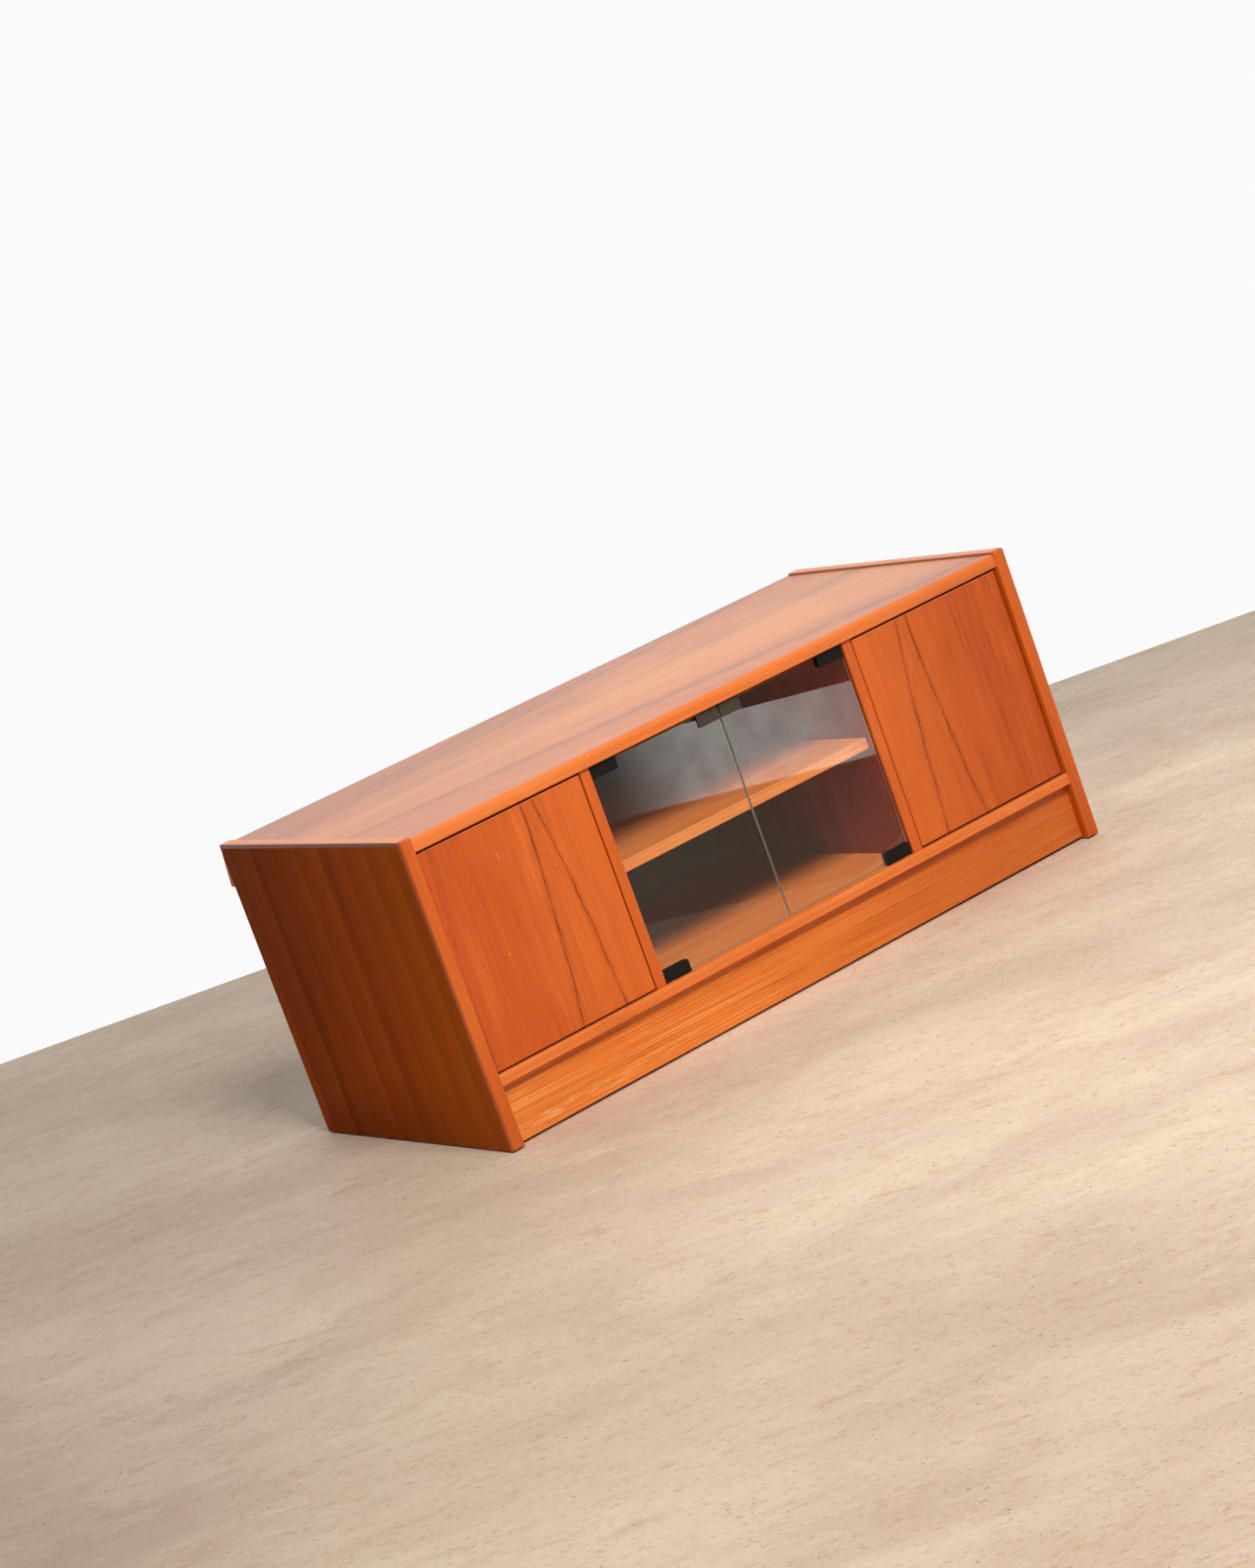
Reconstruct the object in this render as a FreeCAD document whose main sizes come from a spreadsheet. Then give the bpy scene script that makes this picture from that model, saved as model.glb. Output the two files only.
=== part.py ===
import FreeCAD, Part
import os
import re
import Sketcher

# A low television stand in teak: two wooden doors outside, two glass doors between them.
# Frame: X to the right as the front is faced, Y to the back, Z up. The origin is on the floor,
# under the middle of the whole stand. Every size is in millimetres.

Vector = FreeCAD.Vector
doc = FreeCAD.newDocument("tv_stand")

# ---------------------------------------------------------------------------------------------
# Driving dimensions
# ---------------------------------------------------------------------------------------------
SIZES = {
    # the case
    "width": 1050,
    "case_depth": 500,
    "height": 434.5,
    "side_thick": 19,
    "top_thick": 19,
    "board_thick": 16,
    "top_drop": 3.5,
    "top_setback": 2.5,
    "floor_setback": 2,
    "bottom_level": 84.5,
    "lipping_deep": 8,
    "side_cap": 6,
    "side_round": 3,
    "top_round": 7.5,
    "lipping_round": 2.5,
    "divider_centre": 228.7,
    "divider_setback": 8.4,
    "divider_lipping": 5,
    "plinth_setback": 16,
    "plinth_gap": 4.5,
    "block_size": 25,
    "block_length": 80,
    # the back
    "back_thick": 4,
    "back_inset": 6,
    "rebate_deep": 8,
    "rail_thick": 10,
    "rail_edge": 1,
    "rail_tall": 49,
    "rail_level": 372,
    # the shelves
    "shelf_level": 257,
    "shelf_play": 0.7,
    "centre_shelf_setback": 30,
    "side_shelf_setback": 50,
    "shelf_back_gap": 20,
    "shelf_lipping": 5,
    "pin_radius": 2.5,
    "pin_length": 15,
    "pin_sunk": 7,
    "pin_front": 70,
    "pin_rear": 60,
    # what stands on the floor
    "glide_radius": 8,
    "glide_height": 2,
    "glide_nail": 14,
    "glide_inset": 20,
    # dowels
    "dowel_radius": 3.95,
    "dowel_bore": 4,
    "dowel_length": 30,
    "dowel_in_panel": 11,
    "dowel_front": 55,
    "dowel_middle": 235,
    "dowel_rear": 435,
    # the wooden doors
    "door_setback": 9,
    "door_over": 3,
    "door_under": 1.5,
    "door_play": 2,
    "door_free_play": 1.6,
    "door_round": 1.5,
    "pivot_inset": 16,
    "pivot_radius": 2.5,
    "pivot_bore": 2.55,
    "pivot_sunk": 12,
    "pivot_reach": 10,
    "pivot_end_play": 0.5,
    "pivot_bush": 4,
    "washer_radius": 6,
    # the glass doors
    "glass_setback": 13,
    "glass_thick": 5,
    "pane_round": 0.6,
    "glass_play": 1,
    "glass_over": 4,
    "glass_under": 3,
    "glass_side_play": 1.7,
    "clip_side_play": 1.2,
    "clip_width": 44,
    "clip_tall": 17.5,
    "clip_web": 2,
    "clip_front": 1.5,
    "clip_back": 3,
    "clip_corner": 3,
    "clip_round": 0.8,
    "clip_axis": 10,
    "pad_thick": 0.5,
    "pad_side_margin": 0.5,
    "pad_margin": 1,
    "set_screw_radius": 1.98,
    "set_screw_bore": 2,
    "set_screw_length": 4,
    "set_screw_inset": 12,
    "glass_pin_radius": 2,
    "glass_pin_bore": 2.05,
    "glass_pin_reach": 6.5,
    "glass_pin_play": 0.5,
    "glass_bush": 4,
    "glass_bush_sunk": 8,
    "glass_bush_flange": 5.5,
    "striker_inset": 2,
    "striker_width": 35,
    "striker_tall": 18,
    "striker_sheet": 1.5,
    "striker_round": 0.7,
    # the touch latches
    "latch_length": 44,
    "latch_tall": 14,
    "latch_wide": 18,
    "latch_from_divider": 17,
    "twin_tall": 16,
    "twin_wide": 60,
    "plunger_radius": 4,
    "plunger_bore": 4.05,
    "plunger_length": 24,
    "bore_length": 34,
    "magnet_radius": 3.5,
    "magnet_thick": 3,
    "strike_size": 14,
    "strike_tall": 10,
    "strike_thick": 1,
    "strike_pin": 1.5,
    "strike_pin_length": 8,
    # screws and nails
    "screw_radius": 1.5,
    "screw_bore": 1.6,
    "screw_head": 3,
    "screw_play": 0.1,
    "screw_head_tall": 1.8,
    "latch_screw": 26,
    "latch_screw_side": 5,
    "latch_screw_rear": 5,
    "twin_screw_inset": 10,
    "rail_screw": 28,
    "rail_screw_low": 8,
    "rail_screw_high": 22,
    "rail_screw_sunk": 0.4,
    "nail_radius": 0.8,
    "nail_head": 1.8,
    "nail_head_tall": 0.7,
    "nail_length": 16,
}

sheet = doc.addObject("Spreadsheet::Sheet", "sizes")
for row, (alias, size) in enumerate(SIZES.items(), start=1):
    sheet.set(f"A{row}", alias)
    sheet.set(f"B{row}", str(size))
    sheet.setAlias(f"B{row}", alias)
doc.recompute()

# ---------------------------------------------------------------------------------------------
# Places, as formulas in the sheet's words
# ---------------------------------------------------------------------------------------------
FRONT = "(-(case_depth + rail_thick) / 2)"
REAR = f"({FRONT} + case_depth)"
INNER = "(width / 2 - side_thick)"
SIDE_MIDDLE = "(width / 2 - side_thick / 2)"
TOP_UNDER = "(height - top_drop - top_thick)"
BOTTOM_FACE = "(bottom_level + board_thick)"
BACK_FACE = f"({REAR} - back_inset - back_thick)"
DIVIDER_FACE = "(divider_centre - board_thick / 2)"
DIVIDER_OUTER = "(divider_centre + board_thick / 2)"
PANEL_FRONT_TOP = f"({FRONT} + top_setback + lipping_deep)"
PANEL_FRONT_BOTTOM = f"({FRONT} + floor_setback + lipping_deep)"

DOOR_FRONT = f"({FRONT} + door_setback)"
DOOR_BACK = f"({DOOR_FRONT} + board_thick)"
DOOR_LOW = f"({BOTTOM_FACE} + door_under)"
DOOR_HIGH = f"({TOP_UNDER} - door_over)"
DOOR_EDGE = f"({INNER} - door_play)"
DOOR_FREE = f"({DIVIDER_OUTER} + door_free_play)"
PIVOT_X = f"({DOOR_EDGE} - pivot_inset)"
PIVOT_Y = f"({DOOR_FRONT} + board_thick / 2)"

GLASS_FRONT = f"({FRONT} + glass_setback)"
GLASS_BACK = f"({GLASS_FRONT} + glass_thick)"
GLASS_LOW = f"({BOTTOM_FACE} + glass_under)"
GLASS_HIGH = f"({TOP_UNDER} - glass_over)"
GLASS_EDGE = f"({DIVIDER_FACE} - glass_side_play)"
CLIP_EDGE = f"({DIVIDER_FACE} - clip_side_play)"
CLIP_X = f"({CLIP_EDGE} - clip_width)"
CLIP_FRONT = f"({GLASS_FRONT} - pad_thick - clip_front)"
GLASS_PIVOT_X = f"({CLIP_EDGE} - clip_axis)"
GLASS_PIVOT_Y = f"({GLASS_FRONT} + glass_thick / 2)"
STRIKER_BACK = f"({GLASS_BACK} + striker_sheet)"

LATCH_X = f"({DIVIDER_OUTER} + latch_from_divider)"
LATCH_FRONT = f"({DOOR_BACK} + strike_thick + magnet_thick)"
LATCH_Z = f"({TOP_UNDER} - latch_tall / 2)"
TWIN_X = "(glass_play + striker_inset / 2 + striker_width / 2)"
TWIN_FRONT = f"({STRIKER_BACK} + magnet_thick)"
TWIN_Z = f"({TOP_UNDER} - twin_tall / 2)"

SIDES = (("left", -1), ("right", 1))
DOWEL_ROWS = ("dowel_front", "dowel_middle", "dowel_rear")
BLOCK_PLACES = (-0.8, -0.27, 0.27, 0.8)  # shares of the inner half width
NAIL_PLACES = (-0.9, -0.7, -0.35, -0.12, 0.12, 0.35, 0.7, 0.9)  # the same, along the bottom
NAIL_HEIGHTS = (0.1, 0.3, 0.5, 0.7, 0.9)  # shares of the height inside
ALONG = {"x": Vector(1, 0, 0), "y": Vector(0, 1, 0), "z": Vector(0, 0, 1)}

nodes = {}


def from_sheet(formula):
    """Put the sheet's name in front of each of its words in a formula."""
    return re.sub(r"[a-z][a-z_]+", lambda word: "sizes." + word.group(0), formula)


def bind(piece, prop, formula):
    """Bind one property of a piece to a formula in the sheet's words."""
    piece.setExpression(prop, from_sheet(str(formula)))


def put(piece, x, y, z):
    """Bind where a piece stands."""
    for axis, formula in zip("xyz", (x, y, z)):
        bind(piece, "Placement.Base." + axis, formula)
    return piece


def keep(piece, label):
    """Make a finished piece a node of the stand."""
    piece.Label = label
    nodes[label] = piece
    return piece


# ---------------------------------------------------------------------------------------------
# Tools of the bench: boards, rods, groups and cuts
# ---------------------------------------------------------------------------------------------
def board(name, middle_x, low_y, low_z, wide, deep, tall):
    """A square-edged board, given by the middle of its width and its front lower edge."""
    box = doc.addObject("Part::Box", name)
    bind(box, "Length", wide)
    bind(box, "Width", deep)
    bind(box, "Height", tall)
    return put(box, f"{middle_x} - ({wide}) / 2", low_y, low_z)


def rod(name, x, y, z, radius, length, axis="z"):
    """A round rod that starts at a point and runs along an axis; '-' turns it round."""
    cylinder = doc.addObject("Part::Cylinder", name)
    bind(cylinder, "Radius", radius)
    bind(cylinder, "Height", length)
    aim = ALONG[axis[-1]] * (-1 if axis.startswith("-") else 1)
    cylinder.Placement = FreeCAD.Placement(Vector(), FreeCAD.Rotation(ALONG["z"], aim))
    return put(cylinder, x, y, z)


def cone(name, x, y, z, wide_radius, narrow_radius, length, axis="z"):
    """A cone that starts at its wide end, as a countersunk head does."""
    solid = doc.addObject("Part::Cone", name)
    bind(solid, "Radius1", wide_radius)
    bind(solid, "Radius2", narrow_radius)
    bind(solid, "Height", length)
    aim = ALONG[axis[-1]] * (-1 if axis.startswith("-") else 1)
    solid.Placement = FreeCAD.Placement(Vector(), FreeCAD.Rotation(ALONG["z"], aim))
    return put(solid, x, y, z)


def group(name, pieces):
    """Separate solids in one object."""
    compound = doc.addObject("Part::Compound", name)
    compound.Links = pieces
    return compound


def join(name, pieces):
    """Solids made into one."""
    fusion = doc.addObject("Part::MultiFuse", name)
    fusion.Shapes = pieces
    return fusion


def cut(name, blank, tools):
    """A blank with holes or hollows cut out of it."""
    result = doc.addObject("Part::Cut", name)
    result.Base = blank
    result.Tool = tools[0] if len(tools) == 1 else group(name + "_tools", tools)
    return result


def screw(name, x, y, z, length, axis):
    """A countersunk screw, from the face of its head along an axis."""
    head = cone(name + "_head", x, y, z, "screw_head", "screw_radius", "screw_head_tall", axis)
    shank = rod(name + "_shank", x, y, z, "screw_radius", length, axis)
    return join(name, [head, shank])


def screw_hole(name, x, y, z, length, axis):
    """The countersunk hole that a screw passes through."""
    seat = cone(name + "_seat", x, y, z, "screw_head + screw_play", "screw_bore", "screw_head_tall", axis)
    bore = rod(name + "_bore", x, y, z, "screw_bore", length, axis)
    return join(name, [seat, bore])


# ---------------------------------------------------------------------------------------------
# Shaped pieces: an outline drawn in a sketch, padded and rounded
# ---------------------------------------------------------------------------------------------
def outline(body, plane, points):
    """A closed outline on one of the body's own planes; each corner is a pair of formulas."""
    sketch = body.newObject("Sketcher::SketchObject", body.Name + "_outline")
    flat = [item for item in body.Origin.OriginFeatures if item.Role == plane + "_Plane"][0]
    sketch.AttachmentSupport = [(flat, "")]
    sketch.MapMode = "FlatFace"
    spots = [Vector(*(sheet.evalExpression(from_sheet(part)) for part in point)) for point in points]
    count = len(spots)
    for index in range(count):
        sketch.addGeometry(Part.LineSegment(spots[index], spots[(index + 1) % count]), False)
    for index in range(count):
        sketch.addConstraint(Sketcher.Constraint("Coincident", index, 2, (index + 1) % count, 1))
    for index, point in enumerate(points):
        for kind, part, axis_line, size in zip(("DistanceX", "DistanceY"), point, (-2, -1), spots[index]):
            if part == "0":
                sketch.addConstraint(Sketcher.Constraint("PointOnObject", index, 1, axis_line))
                continue
            number = sketch.addConstraint(Sketcher.Constraint(kind, -1, 1, index, 1, size))
            bind(sketch, f"Constraints[{number}]", part)
    return sketch


def padded(name, plane, points, length, reverse=False):
    """A body padded from an outline, with the outline's first corner at its origin."""
    body = doc.addObject("PartDesign::Body", name)
    sketch = outline(body, plane, points)
    pad = body.newObject("PartDesign::Pad", name + "_pad")
    pad.Profile = sketch
    pad.Reversed = reverse
    bind(pad, "Length", length)
    doc.recompute()
    return body


def rectangle(wide, tall):
    """The corners of a rectangle from the origin."""
    return [("0", "0"), (wide, "0"), (wide, tall), ("0", tall)]


def edges_at(body, along, **where):
    """Names of the straight edges along an axis that lie at the low or high end of others."""
    shape = body.Tip.Shape
    box = shape.BoundBox
    ends = {
        "x": {"low": box.XMin, "high": box.XMax},
        "y": {"low": box.YMin, "high": box.YMax},
        "z": {"low": box.ZMin, "high": box.ZMax},
    }
    found = []
    for number, edge in enumerate(shape.Edges, start=1):
        if not isinstance(edge.Curve, Part.Line):
            continue
        if abs(edge.Curve.Direction.dot(ALONG[along])) < 0.999:
            continue
        middle = edge.CenterOfMass
        if all(abs(getattr(middle, axis) - ends[axis][end]) < 0.01 for axis, end in where.items()):
            found.append(f"Edge{number}")
    return found


def round_over(body, radius, *picks):
    """Round the picked edges of a body; each pick is an axis and the ends it lies at."""
    names = [edge for along, where in picks for edge in edges_at(body, along, **where)]
    before = body.Tip
    fillet = body.newObject("PartDesign::Fillet", body.Name + "_round")
    fillet.Base = (before, names)
    bind(fillet, "Radius", radius)
    doc.recompute()
    return body


# ---------------------------------------------------------------------------------------------
# Bores that more than one board shares
# ---------------------------------------------------------------------------------------------
def case_dowels():
    """Dowels in the ends of the top, the bottom and the dividers, and the bores for them."""
    pegs = []
    bores = []
    spots = []
    for side, sign in SIDES:
        for row, deep in enumerate(DOWEL_ROWS):
            y = f"{FRONT} + {deep}"
            for level, z in (("top", f"{TOP_UNDER} + top_thick / 2"),
                             ("bottom", "bottom_level + board_thick / 2")):
                x = f"{sign} * ({INNER} + dowel_in_panel)"
                spots.append((f"{side}_{level}_{row}", x, y, z, "x" if sign < 0 else "-x"))
            x = f"{sign} * divider_centre"
            spots.append((f"{side}_up_{row}", x, y, f"{TOP_UNDER} + dowel_in_panel", "-z"))
            spots.append((f"{side}_down_{row}", x, y, f"{BOTTOM_FACE} - dowel_in_panel", "z"))
    for name, x, y, z, axis in spots:
        pegs.append(rod("peg_" + name, x, y, z, "dowel_radius", "dowel_length", axis))
        bores.append(rod("peg_bore_" + name, x, y, z, "dowel_bore", "dowel_length", axis))
    keep(group("pegs", pegs), "case_dowels")
    return group("dowel_bores", bores)


def shelf_pins():
    """Twelve shelf pins, four under each shelf, and the blind bores that hold them."""
    pins = []
    bores = []
    faces = (
        ("centre", DIVIDER_FACE, "-x"),
        ("inner", DIVIDER_OUTER, "x"),
        ("outer", INNER, "-x"),
    )
    for side, sign in SIDES:
        for name, face, inward in faces:
            aim = inward if sign > 0 else ("x" if inward == "-x" else "-x")
            start = f"{face} + pin_sunk" if inward == "-x" else f"{face} - pin_sunk"
            for end, y in (("front", f"{FRONT} + pin_front"), ("rear", f"{BACK_FACE} - pin_rear")):
                spot = (f"{sign} * ({start})", y, "shelf_level - pin_radius")
                tag = f"{side}_{name}_{end}"
                pins.append(rod("pin_" + tag, *spot, "pin_radius", "pin_length", aim))
                bores.append(rod("pin_bore_" + tag, *spot, "pin_radius", "pin_sunk", aim))
    keep(group("pins", pins), "shelf_pins")
    return group("shelf_pin_bores", bores)


dowel_bores = case_dowels()
pin_bores = shelf_pins()

# ---------------------------------------------------------------------------------------------
# The case
# ---------------------------------------------------------------------------------------------
def side_panel(side, sign):
    """A veneered side with a rebate down its rear inner edge for the back."""
    blank = board(f"side_{side}_blank", f"{sign} * {SIDE_MIDDLE}", f"{FRONT} + lipping_deep",
                  "glide_height", "side_thick", "case_depth - lipping_deep",
                  "height - side_cap - glide_height")
    rebate = board(f"side_{side}_rebate", f"{sign} * ({INNER} + rebate_deep / 2)", BACK_FACE,
                   "bottom_level", "rebate_deep", "back_inset + back_thick",
                   f"{TOP_UNDER} - bottom_level")
    keep(cut(f"side_{side}", blank, [rebate, dowel_bores, pin_bores]), f"side_panel_{side}")


def side_front_lipping(side, sign):
    """The solid strip down the front edge of a side, rounded on its front and its top."""
    body = padded(f"front_strip_{side}", "XY", rectangle("side_thick", "lipping_deep"),
                  "height - glide_height")
    round_over(body, "side_round", ("z", {"x": "low", "y": "low"}), ("z", {"x": "high", "y": "low"}),
               ("x", {"y": "low", "z": "high"}), ("x", {"y": "low", "z": "low"}),
               ("y", {"x": "low", "z": "high"}), ("y", {"x": "high", "z": "high"}))
    put(body, f"{sign} * {SIDE_MIDDLE} - side_thick / 2", FRONT, "glide_height")
    keep(body, f"side_front_lipping_{side}")


def side_top_lipping(side, sign):
    """The solid strip along the top edge of a side, which stands proud of the top."""
    body = padded(f"top_strip_{side}", "XZ", rectangle("side_thick", "side_cap"),
                  "case_depth - lipping_deep", reverse=True)
    round_over(body, "side_round", ("y", {"x": "low", "z": "high"}), ("y", {"x": "high", "z": "high"}),
               ("x", {"y": "high", "z": "high"}))
    put(body, f"{sign} * {SIDE_MIDDLE} - side_thick / 2", f"{FRONT} + lipping_deep",
        "height - side_cap")
    keep(body, f"side_top_lipping_{side}")


def long_lipping(name, front, low, tall, upper_round):
    """A solid strip along the front of the top or the bottom, between the sides."""
    body = padded(name + "_strip", "YZ", rectangle("lipping_deep", tall), f"2 * {INNER}")
    round_over(body, upper_round, ("x", {"y": "low", "z": "high"}))
    round_over(body, "lipping_round", ("x", {"y": "low", "z": "low"}))
    put(body, f"-{INNER}", front, low)
    return body


def top():
    """The veneered top and the big soft lipping in front of it."""
    blank = board("top_blank", "0", PANEL_FRONT_TOP, TOP_UNDER, f"2 * {INNER}",
                  f"{REAR} - {PANEL_FRONT_TOP}", "top_thick")
    keep(cut("top_board", blank, [dowel_bores, top_bores]), "top_panel")
    keep(long_lipping("top", f"{FRONT} + top_setback", TOP_UNDER, "top_thick", "top_round"),
         "top_front_lipping")


def bottom():
    """The bottom panel and its lipping."""
    blank = board("bottom_blank", "0", PANEL_FRONT_BOTTOM, "bottom_level", f"2 * {INNER}",
                  f"{BACK_FACE} - {PANEL_FRONT_BOTTOM}", "board_thick")
    keep(cut("bottom_board", blank, [dowel_bores, bottom_bores]), "bottom_panel")
    keep(long_lipping("bottom", f"{FRONT} + floor_setback", "bottom_level", "board_thick",
                      "lipping_round"), "bottom_front_lipping")


def divider(side, sign):
    """An upright between a wooden door and the glass, with a thin solid lipping."""
    tall = f"{TOP_UNDER} - {BOTTOM_FACE}"
    panel_front = f"{FRONT} + divider_setback + divider_lipping"
    blank = board(f"divider_{side}_blank", f"{sign} * divider_centre", panel_front, BOTTOM_FACE,
                  "board_thick", f"{BACK_FACE} - ({panel_front})", tall)
    keep(cut(f"divider_{side}_board", blank, [dowel_bores, pin_bores]), f"divider_{side}")
    body = padded(f"divider_strip_{side}", "XY", rectangle("board_thick", "divider_lipping"), tall)
    round_over(body, "door_round", ("z", {"x": "low", "y": "low"}), ("z", {"x": "high", "y": "low"}))
    put(body, f"{sign} * divider_centre - board_thick / 2", f"{FRONT} + divider_setback", BOTTOM_FACE)
    keep(body, f"divider_lipping_{side}")


def plinth():
    """The plinth board, set back under the bottom, with glue blocks in the angle behind it."""
    front = board("plinth_board", "0", f"{FRONT} + plinth_setback", "plinth_gap", f"2 * {INNER}",
                  "board_thick", "bottom_level - plinth_gap")
    keep(front, "plinth_front")
    blocks = []
    for index, place in enumerate(BLOCK_PLACES):
        blocks.append(board(f"block_{index}", f"{place} * {INNER}",
                            f"{FRONT} + plinth_setback + board_thick",
                            "bottom_level - block_size", "block_length", "block_size", "block_size"))
    keep(group("blocks", blocks), "plinth_glue_blocks")


def back():
    """The thin back in its rebates, and the nails round it."""
    panel = board("back_board", "0", BACK_FACE, "bottom_level", f"2 * ({INNER} + rebate_deep)",
                  "back_thick", f"{TOP_UNDER} - bottom_level")
    keep(panel, "back_panel")
    spots = [(f"{place} * {INNER}", f"{BOTTOM_FACE} - board_thick / 2")
             for place in NAIL_PLACES]
    for _, sign in SIDES:
        for height in NAIL_HEIGHTS:
            z = f"{BOTTOM_FACE} + {height} * ({TOP_UNDER} - {BOTTOM_FACE})"
            spots.append((f"{sign} * ({INNER} + rebate_deep / 2)", z))
            spots.append((f"{sign} * divider_centre", z))
    nails = []
    for index, (x, z) in enumerate(spots):
        head = rod(f"nail_head_{index}", x, f"{BACK_FACE} + back_thick", z, "nail_head",
                   "nail_head_tall", "y")
        shank = rod(f"nail_shank_{index}", x, f"{BACK_FACE} + back_thick", z, "nail_radius",
                    "nail_length", "-y")
        nails.append(join(f"nail_{index}", [head, shank]))
    keep(group("nails", nails), "back_panel_nails")


def rear_rail():
    """The rail across the top of the back: a strip that gets thicker towards its lower edge."""
    body = padded("rail_strip", "YZ", [("0", "0"), ("rail_thick", "0"), ("rail_edge", "rail_tall"),
                                       ("0", "rail_tall")], "width")
    put(body, "-width / 2", REAR, "rail_level")
    screws = []
    holes = []
    for side, sign in SIDES:
        for index, up in enumerate(("rail_screw_low", "rail_screw_high")):
            x = f"{sign} * {SIDE_MIDDLE}"
            y = f"{REAR} + rail_thick - (rail_thick - rail_edge) * {up} / rail_tall"
            y = f"{y} - rail_screw_sunk"
            z = f"rail_level + {up}"
            screws.append(screw(f"rail_screw_{side}_{index}", x, y, z, "rail_screw", "-y"))
            holes.append(screw_hole(f"rail_hole_{side}_{index}", x, y, z, "rail_screw", "-y"))
            holes.append(rod(f"rail_mouth_{side}_{index}", x, y, z, "screw_head + screw_play",
                             "rail_edge", "y"))
    keep(cut("rail", body, holes), "rear_rail")
    keep(group("rail_screws", screws), "rear_rail_screws")


def shelf(name, middle_x, wide, setback, lipped):
    """A loose shelf on four pins; the one behind the glass has a solid lipping."""
    front = f"{FRONT} + {setback}"
    deep = f"{BACK_FACE} - shelf_back_gap - ({front})"
    strip = "shelf_lipping" if lipped else "0"
    panel = board(f"{name}_board", middle_x, f"{front} + {strip}", "shelf_level", wide,
                  f"{deep} - {strip}", "board_thick")
    keep(panel, name)
    if lipped:
        body = padded(f"{name}_strip", "YZ", rectangle("shelf_lipping", "board_thick"), wide)
        round_over(body, "door_round", ("x", {"y": "low", "z": "high"}), ("x", {"y": "low", "z": "low"}))
        put(body, f"{middle_x} - ({wide}) / 2", front, "shelf_level")
        keep(body, f"{name}_lipping")


def floor_glides():
    """Four nailed glides under the sides, which carry the stand."""
    glides = []
    for side, sign in SIDES:
        for end, y in (("front", f"{FRONT} + glide_inset"), ("rear", f"{REAR} - glide_inset")):
            x = f"{sign} * {SIDE_MIDDLE}"
            foot = rod(f"glide_foot_{side}_{end}", x, y, "0", "glide_radius", "glide_height")
            nail = rod(f"glide_nail_{side}_{end}", x, y, "0", "nail_radius",
                       "glide_height + glide_nail")
            glides.append(join(f"glide_{side}_{end}", [foot, nail]))
    keep(group("glides", glides), "floor_glides")


# ---------------------------------------------------------------------------------------------
# Hinges of both kinds, and the bores for them in the top and the bottom
# ---------------------------------------------------------------------------------------------
def door_pivots():
    """Pins in the case that the wooden doors turn on, with a washer under each door."""
    pins = []
    washers = []
    for side, sign in SIDES:
        x = f"{sign} * {PIVOT_X}"
        length = "pivot_sunk + door_under + pivot_reach"
        pins.append(rod(f"door_pin_low_{side}", x, PIVOT_Y, f"{BOTTOM_FACE} - pivot_sunk",
                        "pivot_radius", length))
        pins.append(rod(f"door_pin_high_{side}", x, PIVOT_Y, f"{TOP_UNDER} + pivot_sunk",
                        "pivot_radius", "pivot_sunk + door_over + pivot_reach", "-z"))
        disc = rod(f"washer_disc_{side}", x, PIVOT_Y, BOTTOM_FACE, "washer_radius", "door_under")
        hole = rod(f"washer_hole_{side}", x, PIVOT_Y, BOTTOM_FACE, "pivot_bore", "door_under")
        washers.append(cut(f"washer_{side}", disc, [hole]))
    keep(group("door_pins", pins), "door_pivot_pins")
    keep(group("washers", washers), "door_pivot_washers")


def pivot_bores(end):
    """What is bored in the bottom or the top for the door pins and the glass door bushes."""
    bores = []
    face, way = (BOTTOM_FACE, "-z") if end == "bottom" else (TOP_UNDER, "z")
    for side, sign in SIDES:
        bores.append(rod(f"{end}_pin_bore_{side}", f"{sign} * {PIVOT_X}", PIVOT_Y, face,
                         "pivot_radius", "pivot_sunk", way))
        bores.append(rod(f"{end}_bush_bore_{side}", f"{sign} * {GLASS_PIVOT_X}", GLASS_PIVOT_Y, face,
                         "glass_bush", "glass_bush_sunk", way))
    return group(f"{end}_bores", bores)


def glass_bushes():
    """Flanged plastic bushes in the bottom and the top for the pins of the glass doors."""
    bushes = []
    flange_tall = "glass_under - clip_web"
    deep = "glass_pin_reach + glass_pin_play"
    ends = (
        ("low", BOTTOM_FACE, "z", "-z", f"{BOTTOM_FACE} - ({deep})"),
        ("high", TOP_UNDER, "-z", "z", f"{TOP_UNDER} + {deep}"),
    )
    for side, sign in SIDES:
        x = f"{sign} * {GLASS_PIVOT_X}"
        for end, face, out, sunk, hole_end in ends:
            tag = f"{side}_{end}"
            sleeve = rod(f"bush_sleeve_{tag}", x, GLASS_PIVOT_Y, face, "glass_bush",
                         "glass_bush_sunk", sunk)
            flange = rod(f"bush_flange_{tag}", x, GLASS_PIVOT_Y, face, "glass_bush_flange",
                         flange_tall, out)
            hole = rod(f"bush_hole_{tag}", x, GLASS_PIVOT_Y, hole_end, "glass_pin_bore",
                       f"{deep} + {flange_tall}", out)
            bushes.append(cut(f"bush_{tag}", join(f"bush_blank_{tag}", [sleeve, flange]), [hole]))
    keep(group("bushes", bushes), "glass_pivot_bushes")


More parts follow.
